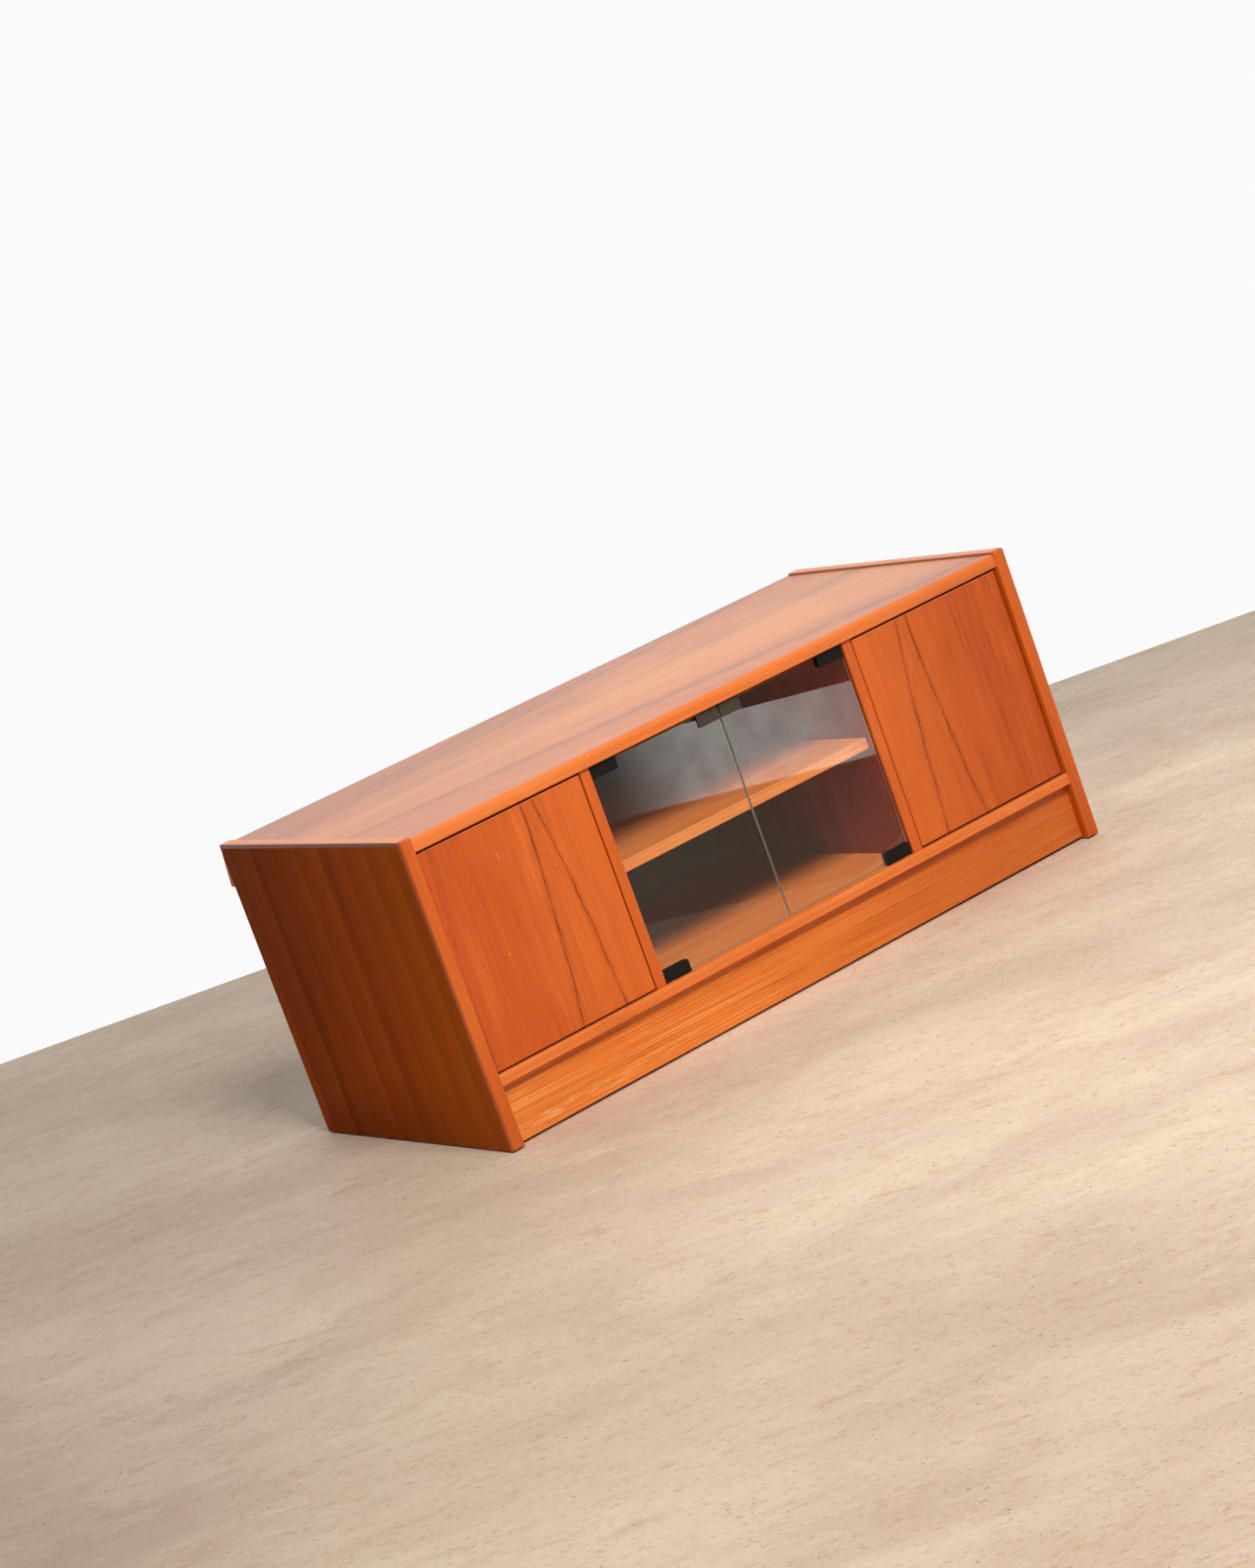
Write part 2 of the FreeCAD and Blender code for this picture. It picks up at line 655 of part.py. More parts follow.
# ---------------------------------------------------------------------------------------------
# The wooden doors
# ---------------------------------------------------------------------------------------------
def wooden_door(side, sign):
    """A veneered door that turns on a bush in its top and bottom edges."""
    wide = f"{DOOR_EDGE} - {DOOR_FREE}"
    tall = f"{DOOR_HIGH} - {DOOR_LOW}"
    body = padded(f"door_{side}_blank", "XZ", rectangle(wide, tall), "board_thick", reverse=True)
    round_over(body, "door_round", ("x", {}), ("y", {}), ("z", {}))
    middle = f"{sign} * ({DOOR_EDGE} + {DOOR_FREE}) / 2"
    put(body, f"{middle} - ({wide}) / 2", DOOR_FRONT, DOOR_LOW)

    bores = []
    bushes = []
    pivot = f"{sign} * {PIVOT_X}"
    for end, face, way in (("low", DOOR_LOW, "z"), ("high", DOOR_HIGH, "-z")):
        tag = f"{side}_{end}"
        bores.append(rod(f"door_bore_{tag}", pivot, PIVOT_Y, face, "pivot_bush", "pivot_sunk", way))
        sleeve = rod(f"door_sleeve_{tag}", pivot, PIVOT_Y, face, "pivot_bush", "pivot_sunk", way)
        hole = rod(f"door_sleeve_hole_{tag}", pivot, PIVOT_Y, face, "pivot_bore",
                   "pivot_reach + pivot_end_play", way)
        bushes.append(cut(f"door_bush_{tag}", sleeve, [hole]))
    strike_x = f"{sign} * {LATCH_X}"
    bores.append(rod(f"strike_bore_{side}", strike_x, DOOR_BACK, LATCH_Z, "strike_pin",
                     "strike_pin_length", "-y"))
    keep(cut(f"door_{side}_board", body, bores), f"door_{side}_panel")
    keep(group(f"door_{side}_bushes", bushes), f"door_{side}_pivot_bushes")

    plate = board(f"strike_plate_{side}", strike_x, DOOR_BACK, f"{LATCH_Z} - strike_size / 2",
                  "strike_size", "strike_thick", "strike_tall")
    pin = rod(f"strike_pin_{side}", strike_x, DOOR_BACK, LATCH_Z, "strike_pin", "strike_pin_length",
              "-y")
    keep(join(f"strike_{side}", [plate, pin]), f"door_{side}_strike_plate")


# ---------------------------------------------------------------------------------------------
# The glass doors
# ---------------------------------------------------------------------------------------------
def hinge_clip(side, sign, end):
    """The black clip on an outer corner of the glass: a front plate, a web and a back plate."""
    high = end == "high"
    deep = "clip_front + 2 * pad_thick + glass_thick + clip_back"
    slot_front = "clip_front"
    slot_back = "clip_front + 2 * pad_thick + glass_thick"
    points = [("0", "0"), (deep, "0"), (deep, "clip_tall"), (slot_back, "clip_tall"),
              (slot_back, "clip_web"), (slot_front, "clip_web"), (slot_front, "clip_tall"),
              ("0", "clip_tall")]
    if high:
        points = [("0", "0"), (slot_front, "0"), (slot_front, "clip_tall - clip_web"),
                  (slot_back, "clip_tall - clip_web"), (slot_back, "0"), (deep, "0"),
                  (deep, "clip_tall"), ("0", "clip_tall")]
    body = padded(f"clip_{side}_{end}_blank", "YZ", points, "clip_width")
    tips = "low" if high else "high"
    round_over(body, "clip_corner", ("y", {"x": "low", "z": tips}), ("y", {"x": "high", "z": tips}))
    round_over(body, "clip_round", ("x", {"y": "low", "z": tips}), ("z", {"x": "low", "y": "low"}),
               ("z", {"x": "high", "y": "low"}))
    low = f"{GLASS_HIGH} + clip_web - clip_tall" if high else f"{GLASS_LOW} - clip_web"
    put(body, f"{sign} * ({CLIP_X} + clip_width / 2) - clip_width / 2", CLIP_FRONT, low)
    return body


def glass_door(side, sign):
    """A pane with two hinge clips, their pins, pads and screws, and a steel striker."""
    wide = f"{GLASS_EDGE} - glass_play"
    tall = f"{GLASS_HIGH} - {GLASS_LOW}"
    pane = padded(f"pane_{side}", "XZ", rectangle(wide, tall), "glass_thick", reverse=True)
    round_over(pane, "pane_round", ("x", {}), ("y", {}), ("z", {}))
    put(pane, f"{sign} * ({GLASS_EDGE} + glass_play) / 2 - ({wide}) / 2", GLASS_FRONT, GLASS_LOW)
    keep(pane, f"glass_{side}_pane")

    clips = []
    pads = []
    screws = []
    pins = []
    middle = f"{sign} * ({CLIP_X} + clip_width / 2)"
    pad_wide = f"{GLASS_EDGE} - {CLIP_X} - 2 * pad_side_margin"
    pad_middle = f"{sign} * ({GLASS_EDGE} - ({pad_wide}) / 2 - pad_side_margin)"
    for end in ("low", "high"):
        tag = f"{side}_{end}"
        high = end == "high"
        edge = GLASS_HIGH if high else GLASS_LOW
        plate_middle = f"{edge} - (clip_tall - clip_web) / 2" if high else \
            f"{edge} + (clip_tall - clip_web) / 2"
        tools = []
        for spot, x in (("in", f"{middle} - clip_width / 2 + set_screw_inset"),
                        ("out", f"{middle} + clip_width / 2 - set_screw_inset")):
            back = f"{GLASS_BACK} + pad_thick"
            screws.append(rod(f"set_screw_{tag}_{spot}", x, back, plate_middle, "set_screw_radius",
                              "set_screw_length", "y"))
            tools.append(rod(f"set_bore_{tag}_{spot}", x, back, plate_middle, "set_screw_bore",
                             "clip_back", "y"))
        x = f"{sign} * {GLASS_PIVOT_X}"
        way = "z" if high else "-z"
        length = f"{'glass_over' if high else 'glass_under'} + glass_pin_reach"
        pins.append(rod(f"glass_pin_{tag}", x, GLASS_PIVOT_Y, edge, "glass_pin_radius", length, way))
        tools.append(rod(f"clip_pin_bore_{tag}", x, GLASS_PIVOT_Y, edge, "glass_pin_radius",
                         "clip_web", way))
        clips.append(cut(f"clip_{tag}", hinge_clip(side, sign, end), tools))
        pad_low = f"{edge} - clip_tall + clip_web + pad_margin" if high else f"{edge} + pad_margin"
        for face, y in (("front", f"{GLASS_FRONT} - pad_thick"), ("back", GLASS_BACK)):
            pads.append(board(f"pad_{tag}_{face}", pad_middle, y, pad_low, pad_wide, "pad_thick",
                              "clip_tall - clip_web - 2 * pad_margin"))
    keep(group(f"clips_{side}", clips), f"glass_{side}_hinge_clips")
    keep(group(f"pads_{side}", pads), f"glass_{side}_hinge_pads")
    keep(group(f"screws_{side}", screws), f"glass_{side}_hinge_screws")
    keep(group(f"glass_pins_{side}", pins), f"glass_{side}_pivot_pins")

    deep = "2 * striker_sheet + glass_thick"
    inner = "striker_sheet + glass_thick"
    points = [("0", "0"), ("striker_sheet", "0"), ("striker_sheet", "striker_tall - striker_sheet"),
              (inner, "striker_tall - striker_sheet"), (inner, "0"), (deep, "0"),
              (deep, "striker_tall"), ("0", "striker_tall")]
    striker = padded(f"striker_{side}", "YZ", points, "striker_width")
    round_over(striker, "striker_round", ("x", {"y": "low", "z": "high"}), ("y", {"x": "low", "z": "low"}),
               ("y", {"x": "high", "z": "low"}))
    put(striker, f"{sign} * {TWIN_X} - striker_width / 2", f"{GLASS_FRONT} - striker_sheet",
        f"{GLASS_HIGH} + striker_sheet - striker_tall")
    keep(striker, f"glass_{side}_striker")


# ---------------------------------------------------------------------------------------------
# The touch latches
# ---------------------------------------------------------------------------------------------
def plunger(name, x, front, z):
    """A plunger in its housing, with a magnet on its front end."""
    keep(rod(name + "_rod", x, front, z, "plunger_radius", "plunger_length", "y"), name)
    keep(rod(name + "_tip", x, f"{front} - magnet_thick", z, "magnet_radius", "magnet_thick", "y"),
         name.replace("plunger", "magnet"))


def touch_latches():
    """One latch for each wooden door and a twin latch for the glass doors, under the top."""
    screws = []

    def housing(name, x, front, wide, tall, plungers_at, screws_at):
        blank = board(name + "_block", x, front, f"{TOP_UNDER} - {tall}", wide, "latch_length", tall)
        middle = f"{TOP_UNDER} - {tall} / 2"
        tools = []
        for index, plunger_x in enumerate(plungers_at):
            tools.append(rod(f"{name}_bore_{index}", plunger_x, front, middle, "plunger_bore",
                             "bore_length", "y"))
        for index, (screw_x, screw_y) in enumerate(screws_at):
            spot = (screw_x, screw_y, f"{TOP_UNDER} - {tall}")
            screws.append(screw(f"{name}_screw_{index}", *spot, "latch_screw", "z"))
            tools.append(screw_hole(f"{name}_hole_{index}", *spot, "latch_screw", "z"))
        keep(cut(name + "_body", blank, tools), name)

    for side, sign in SIDES:
        x = f"{sign} * {LATCH_X}"
        rear = f"{LATCH_FRONT} + latch_length - latch_screw_rear"
        housing(f"latch_housing_{side}", x, LATCH_FRONT, "latch_wide", "latch_tall", [x],
                [(f"{x} - latch_screw_side", rear), (f"{x} + latch_screw_side", rear)])
        plunger(f"door_{side}_plunger", x, LATCH_FRONT, LATCH_Z)
    housing("latch_housing_centre", "0", TWIN_FRONT, "twin_wide", "twin_tall",
            [f"-{TWIN_X}", TWIN_X],
            [("0", f"{TWIN_FRONT} + twin_screw_inset"),
             ("0", f"{TWIN_FRONT} + latch_length - twin_screw_inset")])
    for side, sign in SIDES:
        plunger(f"glass_{side}_plunger", f"{sign} * {TWIN_X}", TWIN_FRONT, TWIN_Z)
    keep(group("latch_screw_set", screws), "latch_screws")


# ---------------------------------------------------------------------------------------------
# The whole stand
# ---------------------------------------------------------------------------------------------
top_bores = pivot_bores("top")
bottom_bores = pivot_bores("bottom")
for each_side, each_sign in SIDES:
    side_panel(each_side, each_sign)
    side_front_lipping(each_side, each_sign)
    side_top_lipping(each_side, each_sign)
    divider(each_side, each_sign)
top()
bottom()
plinth()
back()
rear_rail()
shelf("shelf_centre", "0", f"2 * ({DIVIDER_FACE} - shelf_play)", "centre_shelf_setback", True)
for each_side, each_sign in SIDES:
    shelf(f"shelf_{each_side}", f"{each_sign} * ({DIVIDER_OUTER} + {INNER}) / 2",
          f"{INNER} - {DIVIDER_OUTER} - 2 * shelf_play", "side_shelf_setback", False)
floor_glides()
door_pivots()
glass_bushes()
for each_side, each_sign in SIDES:
    wooden_door(each_side, each_sign)
    glass_door(each_side, each_sign)
touch_latches()
doc.recompute()

# ---------------------------------------------------------------------------------------------
# Check every object, then write one file for each node
# ---------------------------------------------------------------------------------------------
for item in doc.Objects:
    if "Invalid" in item.State or "Error" in item.State:
        raise RuntimeError(f"{item.Label} did not compute: {item.State}")
os.makedirs("parts", exist_ok=True)
for label, piece in nodes.items():
    if piece.Shape.isNull() or not piece.Shape.isValid():
        raise RuntimeError(f"{label} has no valid shape")
    piece.Shape.exportStep(f"parts/{label}.step")
    box = piece.Shape.BoundBox
    print(f"{label:26s} {len(piece.Shape.Solids):3d} solids  {piece.Shape.Volume / 1000:10.2f} cm3"
          f"  x {box.XMin:8.2f} {box.XMax:8.2f}  y {box.YMin:8.2f} {box.YMax:8.2f}"
          f"  z {box.ZMin:7.2f} {box.ZMax:7.2f}")
print(f"{len(nodes)} nodes")
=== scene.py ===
# %% [markdown]
# A low television stand in teak, as made in Denmark about 1980: a wooden door at each end, a pair of
# glass doors in the middle with one shelf behind them, and a plinth set back under the bottom.
#
# The boards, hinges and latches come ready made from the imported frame, at their real sizes. This
# lesson gives them their looks: first the studio, then the wood, the glass and the metal, and last
# the small turned parts that deserve more shape than the frame gives them.

# %% Load the frame
import math
import bmesh
import bpy
from mathutils import Euler, Matrix, Vector


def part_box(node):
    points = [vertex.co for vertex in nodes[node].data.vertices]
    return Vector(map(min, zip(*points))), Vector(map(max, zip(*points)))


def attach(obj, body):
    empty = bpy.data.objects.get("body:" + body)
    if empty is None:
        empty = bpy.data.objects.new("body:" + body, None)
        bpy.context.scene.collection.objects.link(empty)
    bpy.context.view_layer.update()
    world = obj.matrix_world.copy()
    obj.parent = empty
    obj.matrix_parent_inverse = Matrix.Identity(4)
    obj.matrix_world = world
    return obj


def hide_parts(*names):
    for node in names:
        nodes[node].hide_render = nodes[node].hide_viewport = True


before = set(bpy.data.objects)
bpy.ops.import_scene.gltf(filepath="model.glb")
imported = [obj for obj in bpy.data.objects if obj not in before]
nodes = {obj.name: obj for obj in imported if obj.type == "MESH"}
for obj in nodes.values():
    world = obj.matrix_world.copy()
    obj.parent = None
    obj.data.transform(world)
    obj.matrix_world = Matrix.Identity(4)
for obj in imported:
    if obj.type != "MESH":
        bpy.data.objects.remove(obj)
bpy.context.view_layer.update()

MM = 0.001

# %% [markdown]
# The camera stands to the left of the stand and looks a little down on it, through a long lens, and
# it is rolled on its axis, so that the whole stand seems to tip. A camera in Blender looks down its
# own -Z, with +Y up. So it is built from three turns: the dip, the heading and, first of all, the roll.

# %% Camera
CAMERA_PLACE = Vector((-2.8827, -4.7929, 1.4147))
HEADING = math.radians(30.793)   # from straight ahead towards the right
DIP = math.radians(11.184)       # below the horizon
ROLL = math.radians(-19.895)     # the horizon rises to the right

camera_data = bpy.data.cameras.new("camera")
camera_data.sensor_width = 36
camera_data.lens = 94.29
camera = bpy.data.objects.new("camera", camera_data)
bpy.context.scene.collection.objects.link(camera)
aim = Euler((math.pi / 2 - DIP, 0, -HEADING), "XYZ").to_matrix() @ Matrix.Rotation(ROLL, 3, "Z")
camera.matrix_world = Matrix.Translation(CAMERA_PLACE) @ aim.to_4x4()
bpy.context.scene.camera = camera
print("camera looks along", [round(v, 4) for v in aim @ Vector((0, 0, -1))])

# %% [markdown]
# Materials are trees of nodes. Short helpers keep the trees readable: they add a node and fill its
# sockets, do one sum, or mix two colours. A socket takes either a number or another node's output.

# %% Helpers for node trees
def is_socket(value):
    return isinstance(value, bpy.types.NodeSocket)


def add(tree, kind, inputs=None, **settings):
    """Add a node, set its properties, and fill or link its input sockets."""
    node = tree.nodes.new(kind)
    for key, value in settings.items():
        setattr(node, key, value)
    for key, value in (inputs or {}).items():
        if is_socket(value):
            tree.links.new(value, node.inputs[key])
        else:
            node.inputs[key].default_value = value
    return node


def calc(tree, operation, *values, clamp=False):
    """One sum with a Math node."""
    inputs = dict(enumerate(values))
    return add(tree, "ShaderNodeMath", inputs, operation=operation, use_clamp=clamp).outputs[0]


def times(tree, *values):
    """Multiply two or more values."""
    result = values[0]
    for value in values[1:]:
        result = calc(tree, "MULTIPLY", result, value)
    return result


def minus(tree, first, second):
    return calc(tree, "SUBTRACT", first, second)


def nudge(tree, wave, reach, onto, clamp=False):
    """Add a noise to a value, so that it sways by half the reach to either side."""
    return calc(tree, "MULTIPLY_ADD", minus(tree, wave, 0.5), reach, onto, clamp=clamp)


def ramp(tree, value, low_in, high_in, low_out=0.0, high_out=1.0, smooth=True):
    """Stretch a range of values on to another range."""
    inputs = {"Value": value, "From Min": low_in, "From Max": high_in,
              "To Min": low_out, "To Max": high_out}
    kind = "SMOOTHSTEP" if smooth else "LINEAR"
    return add(tree, "ShaderNodeMapRange", inputs, interpolation_type=kind).outputs["Result"]


def blend_colours(tree, amount, first, second):
    """Mix two colours."""
    node = add(tree, "ShaderNodeMix", data_type="RGBA")
    for index, value in ((0, amount), (6, first), (7, second)):
        if is_socket(value):
            tree.links.new(value, node.inputs[index])
        else:
            node.inputs[index].default_value = value
    return node.outputs[2]


def noise(tree, vector, scale=1.0, detail=2.0, rough=0.5, distortion=0.0):
    """Soft noise from 0 to 1."""
    inputs = {"Vector": vector, "Scale": scale, "Detail": detail, "Roughness": rough,
              "Distortion": distortion}
    return add(tree, "ShaderNodeTexNoise", inputs).outputs["Fac"]


def stretch(tree, parts, scales):
    """A vector whose three parts are scaled each by its own number."""
    scaled = [times(tree, part, scale) for part, scale in zip(parts, scales)]
    return add(tree, "ShaderNodeCombineXYZ", dict(enumerate(scaled))).outputs[0]


def drawn_noise(tree, parts, scales, detail=2.0, rough=0.5, distortion=0.0):
    """Soft noise, squeezed along each of three directions by its own number."""
    return noise(tree, stretch(tree, parts, scales), 1, detail, rough, distortion)


def colour(red, green, blue):
    """A colour as a paint chart gives it, 0 to 255, in the linear values that light adds up in."""
    def linear(part):
        part = part / 255
        return part / 12.92 if part <= 0.04045 else ((part + 0.055) / 1.055) ** 2.4
    return (linear(red), linear(green), linear(blue), 1.0)


def fade(tree, base, value, start, end, amount, shade):
    """Blend towards a shade: not at all where the value is at the start, by the amount at the end."""
    return blend_colours(tree, ramp(tree, value, start, end, 0.0, amount), base, colour(*shade))


def parts_of(tree, vector):
    """The three parts of a vector."""
    return add(tree, "ShaderNodeSeparateXYZ", {0: vector}).outputs


def new_material(name):
    """An empty material: its tree, the Principled shader, and where a thing is on the piece."""
    material = bpy.data.materials.new(name)
    material.use_nodes = True
    tree = material.node_tree
    tree.nodes.clear()
    shader = add(tree, "ShaderNodeBsdfPrincipled")
    output = add(tree, "ShaderNodeOutputMaterial", {"Surface": shader.outputs[0]})
    place = add(tree, "ShaderNodeTexCoord").outputs["Object"]
    return material, tree, shader, output, place


def bump(tree, shader, height_value, distance, strength=1.0):
    """Press a height into the surface; the distance is how deep, in metres."""
    inputs = {"Height": height_value, "Distance": distance, "Strength": strength}
    tree.links.new(add(tree, "ShaderNodeBump", inputs).outputs[0], shader.inputs["Normal"])


print("helpers ready")

# %% [markdown]
# The studio: a pale stone floor, and a white wall behind the stand, square to the camera's heading.
# The wall shines a little of its own light, as a lit paper backdrop does, and it is painted on one
# side only: from behind, it isn't there, so that the stand can be looked at from the back too.

# %% Floor and wall
WALL_DISTANCE = 1.13
ROOM = 9.0
FLOOR_SPOT = (0.30, -0.60, 0.0)   # where the floor's painted light is brightest; painted shade darkens it away from there
SHADOW_BROWN = (112, 90, 74)
heading = Vector((math.sin(HEADING), math.cos(HEADING), 0))
sideways = Vector((heading.y, -heading.x, 0))


def flat_sheet(name, corners):
    """A four-cornered sheet that belongs to the studio, not to the stand."""
    mesh = bpy.data.meshes.new(name)
    mesh.from_pydata([tuple(corner) for corner in corners], [], [(0, 1, 2, 3)])
    sheet = bpy.data.objects.new(name, mesh)
    bpy.context.scene.collection.objects.link(sheet)
    return sheet


floor = flat_sheet("studio_floor", [(-ROOM, -ROOM, 0), (ROOM, -ROOM, 0), (ROOM, ROOM, 0),
                                    (-ROOM, ROOM, 0)])
wall_foot = heading * WALL_DISTANCE
wall_left, wall_right = wall_foot - sideways * ROOM, wall_foot + sideways * ROOM
up = Vector((0, 0, ROOM))
wall = flat_sheet("studio_wall", [wall_left, wall_right, wall_right + up, wall_left + up])


def level_distance(tree, parts, direction, origin=Vector((0, 0, 0))):
    """How far a place lies from an origin, measured in one level direction."""
    first = calc(tree, "MULTIPLY_ADD", parts[0], direction.x, -origin.dot(direction))
    return calc(tree, "MULTIPLY_ADD", parts[1], direction.y, first)


def floor_stone():
    """Pale beige stone: clouds, fine streaks that follow its bed, small pits, a satin polish."""
    material, tree, shader, _, place = new_material("floor_stone")
    parts = parts_of(tree, place)
    bed = (level_distance(tree, parts, sideways), level_distance(tree, parts, heading), parts[2])
    clouds = drawn_noise(tree, bed, (1.5, 3.0, 1), 4, 0.62, 0.6)
    veins = drawn_noise(tree, bed, (13, 25, 1), 8, 0.72, 1.0)
    streaks = drawn_noise(tree, bed, (80, 190, 1), 5, 0.7, 0.9)
    pits = drawn_noise(tree, bed, (130, 260, 1), 3, 0.6, 0.6)
    flecks = drawn_noise(tree, bed, (160, 330, 5), 2, 0.6, 0.6)
    base = fade(tree, colour(205, 184, 163), clouds, 0.3, 0.7, 1.0, (228, 210, 187))
    base = fade(tree, base, veins, 0.5, 0.72, 0.5, (190, 160, 136))
    base = fade(tree, base, veins, 0.46, 0.30, 0.4, (234, 220, 202))
    base = fade(tree, base, streaks, 0.54, 0.66, 0.55, (170, 138, 110))
    base = fade(tree, base, flecks, 0.62, 0.70, 0.6, (240, 230, 214))
    base = fade(tree, base, pits, 0.66, 0.71, 0.7, (128, 98, 76))
    # painted shade: the floor turns darker away from its brightest spot, and more at the near left
    far = add(tree, "ShaderNodeVectorMath", {0: place, 1: FLOOR_SPOT}, operation="DISTANCE").outputs["Value"]
    base = fade(tree, base, far, 0.45, 1.6, 0.40, SHADOW_BROWN)
    painted_shade_near_left = times(tree, ramp(tree, bed[0], -0.35, -1.2), ramp(tree, bed[1], -0.6, -1.4, 0.0, 0.50))
    base = blend_colours(tree, painted_shade_near_left, base, colour(*SHADOW_BROWN))
    tree.links.new(base, shader.inputs["Base Color"])
    tree.links.new(ramp(tree, veins, 0.3, 0.7, 0.46, 0.62), shader.inputs["Roughness"])
    shader.inputs["Specular IOR Level"].default_value = 0.12
    bump(tree, shader, calc(tree, "MULTIPLY_ADD", ramp(tree, pits, 0.66, 0.72), -1.0, streaks), 0.0006)
    return material


def set_glow(tree, shader, output, shade, strength, gone=None):
    """Let a surface only give light, or at strength 0 swallow it; where gone is 1, it isn't there."""
    surface = add(tree, "ShaderNodeEmission", {"Color": shade, "Strength": strength})
    if gone is not None:
        clear = add(tree, "ShaderNodeBsdfTransparent")
        surface = add(tree, "ShaderNodeMixShader", {0: gone, 1: surface.outputs[0], 2: clear.outputs[0]})
    tree.links.new(surface.outputs[0], output.inputs["Surface"])
    tree.nodes.remove(shader)


def from_behind(tree):
    """1 where a sheet is seen from its back, 0 where it is seen from its front."""
    return add(tree, "ShaderNodeNewGeometry").outputs["Backfacing"]


def wall_paper():
    """White paper with light of its own, on its front only."""
    material, tree, shader, output, _ = new_material("wall_paper")
    set_glow(tree, shader, output, (1, 1, 1, 1), 0.955, from_behind(tree))
    return material


floor.data.materials.append(floor_stone())
wall.data.materials.append(wall_paper())
print(f"wall {WALL_DISTANCE:.2f} m behind the stand")

# %% [markdown]
# Light: one large soft lamp, in front of the stand and about 40 degrees up. Its height is set by the
# shadows: the shelf shades the bottom of its bay from half-way back. The rest of the light is the
# white wall and a dim room, and a black cloth hangs at the left, so that the left side stays dark.
# The cloth thins out towards the floor, so that it throws no hard edge of shade there.

# %% The lamp, the room's own light and the black cloth
LAMP_PLACE = (-0.70, -3.5, 3.5)
BLACK = (0.0, 0.0, 0.0, 1.0)


def soft_lamp(name, place, target, wide, tall, power, tint):
    """A rectangular soft lamp that points at a target."""
    data = bpy.data.lights.new(name, "AREA")
    data.shape = "RECTANGLE"
    data.size, data.size_y = wide, tall
    data.energy = power
    data.color = tint
    lamp = bpy.data.objects.new(name, data)
    lamp.location = place
    lamp.rotation_euler = (Vector(target) - Vector(place)).to_track_quat("-Z", "Y").to_euler()
    bpy.context.scene.collection.objects.link(lamp)
    return lamp


def hide_from(sheet, *rays):
    """Keep a studio sheet out of sight of some kinds of ray."""
    for ray in rays:
        setattr(sheet, "visible_" + ray, False)


soft_lamp("main_lamp", LAMP_PLACE, (0, 0, 0.2), 1.5, 1.3, 210, (1.0, 0.96, 0.91))

world = bpy.data.worlds.new("room")
bpy.context.scene.world = world
world.use_nodes = True
room_light = world.node_tree.nodes["Background"]
room_light.inputs["Color"].default_value = (1.0, 0.97, 0.94, 1)
room_light.inputs["Strength"].default_value = 0.27

CLOTH_X, CLOTH_FRONT, CLOTH_REAR, CLOTH_TOP = -1.5, -0.9, 2.6, 2.2


def thinning_cloth():
    material, tree, shader, output, place = new_material("black_cloth")
    height_up = parts_of(tree, place)[2]
    set_glow(tree, shader, output, BLACK, 0.0, ramp(tree, height_up, 0.05, 0.45, 1.0, 0.0))
    return material


black_cloth = flat_sheet("studio_cloth", [
    (CLOTH_X, CLOTH_FRONT, 0), (CLOTH_X, CLOTH_REAR, 0),
    (CLOTH_X, CLOTH_REAR, CLOTH_TOP), (CLOTH_X, CLOTH_FRONT, CLOTH_TOP)])
black_cloth.data.materials.append(thinning_cloth())
hide_from(black_cloth, "camera", "transmission", "shadow")
bpy.context.scene.view_settings.view_transform = "Standard"
print("one lamp, the room and the wall light the stand")

# %% [markdown]
# A pane of glass shows what stands in front of it. Here that looks like a low white board on the
# floor, a dark strip at its foot and black cloth above it, in front and to the right. Mirrored in the
# glass doors they make the grey band with its dark edge. A standing board would also show as a bright
# stripe in the satin polish of the floor. So the board is painted flat on the floor instead, drawn
# out like a street painting, so that it looks upright from one place: the camera's mirror image
# behind the glass. From other places the sheets are only faint odd shapes in the glass, or out of
# sight. All of them are seen only in reflections, and board and strip only from above.

# %% What the glass mirrors
BOARD_START, BOARD_END = Vector((0.40, -1.93, 0.0)), Vector((0.99, -1.0, 0.0))
BOARD_TALL = Vector((0, 0, 0.135))
BACKING_TALL = Vector((0, 0, 0.85))
STRIP_WIDE = 0.72                 # how far the strip reaches from the foot of the board
STRIP_PALER = 0.39                # from here on, the strip glows a little brighter: painted light
LIFT = Vector((0, 0, 0.001))      # the strip lies this much above the floor, the board twice as much
GLASS_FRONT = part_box("glass_left_pane")[0].y
MIRRORED = Vector((CAMERA_PLACE[0], 2 * GLASS_FRONT - CAMERA_PLACE[1], CAMERA_PLACE[2]))


def cast_on_floor(point):
    """Where the line from the mirrored camera through a point meets the floor."""
    return MIRRORED + (point - MIRRORED) * (MIRRORED.z / (MIRRORED.z - point.z))


along_board = BOARD_END - BOARD_START
far_left, far_right = cast_on_floor(BOARD_START + BOARD_TALL), cast_on_floor(BOARD_END + BOARD_TALL)
white_board = flat_sheet("studio_board", [corner + 2 * LIFT for corner in (
    far_left, far_right, BOARD_END, BOARD_START)])
backing_left, backing_right = far_left * 2 - far_right, far_right * 2 - far_left
backing = flat_sheet("studio_backing", [backing_left, backing_right, backing_right + BACKING_TALL,
                                        backing_left + BACKING_TALL])
strip_reach = Vector((-along_board.y, along_board.x, 0)).normalized() * STRIP_WIDE
strip = flat_sheet("studio_strip", [corner + LIFT for corner in (
    BOARD_START, BOARD_END, BOARD_END + strip_reach, BOARD_START + strip_reach)])


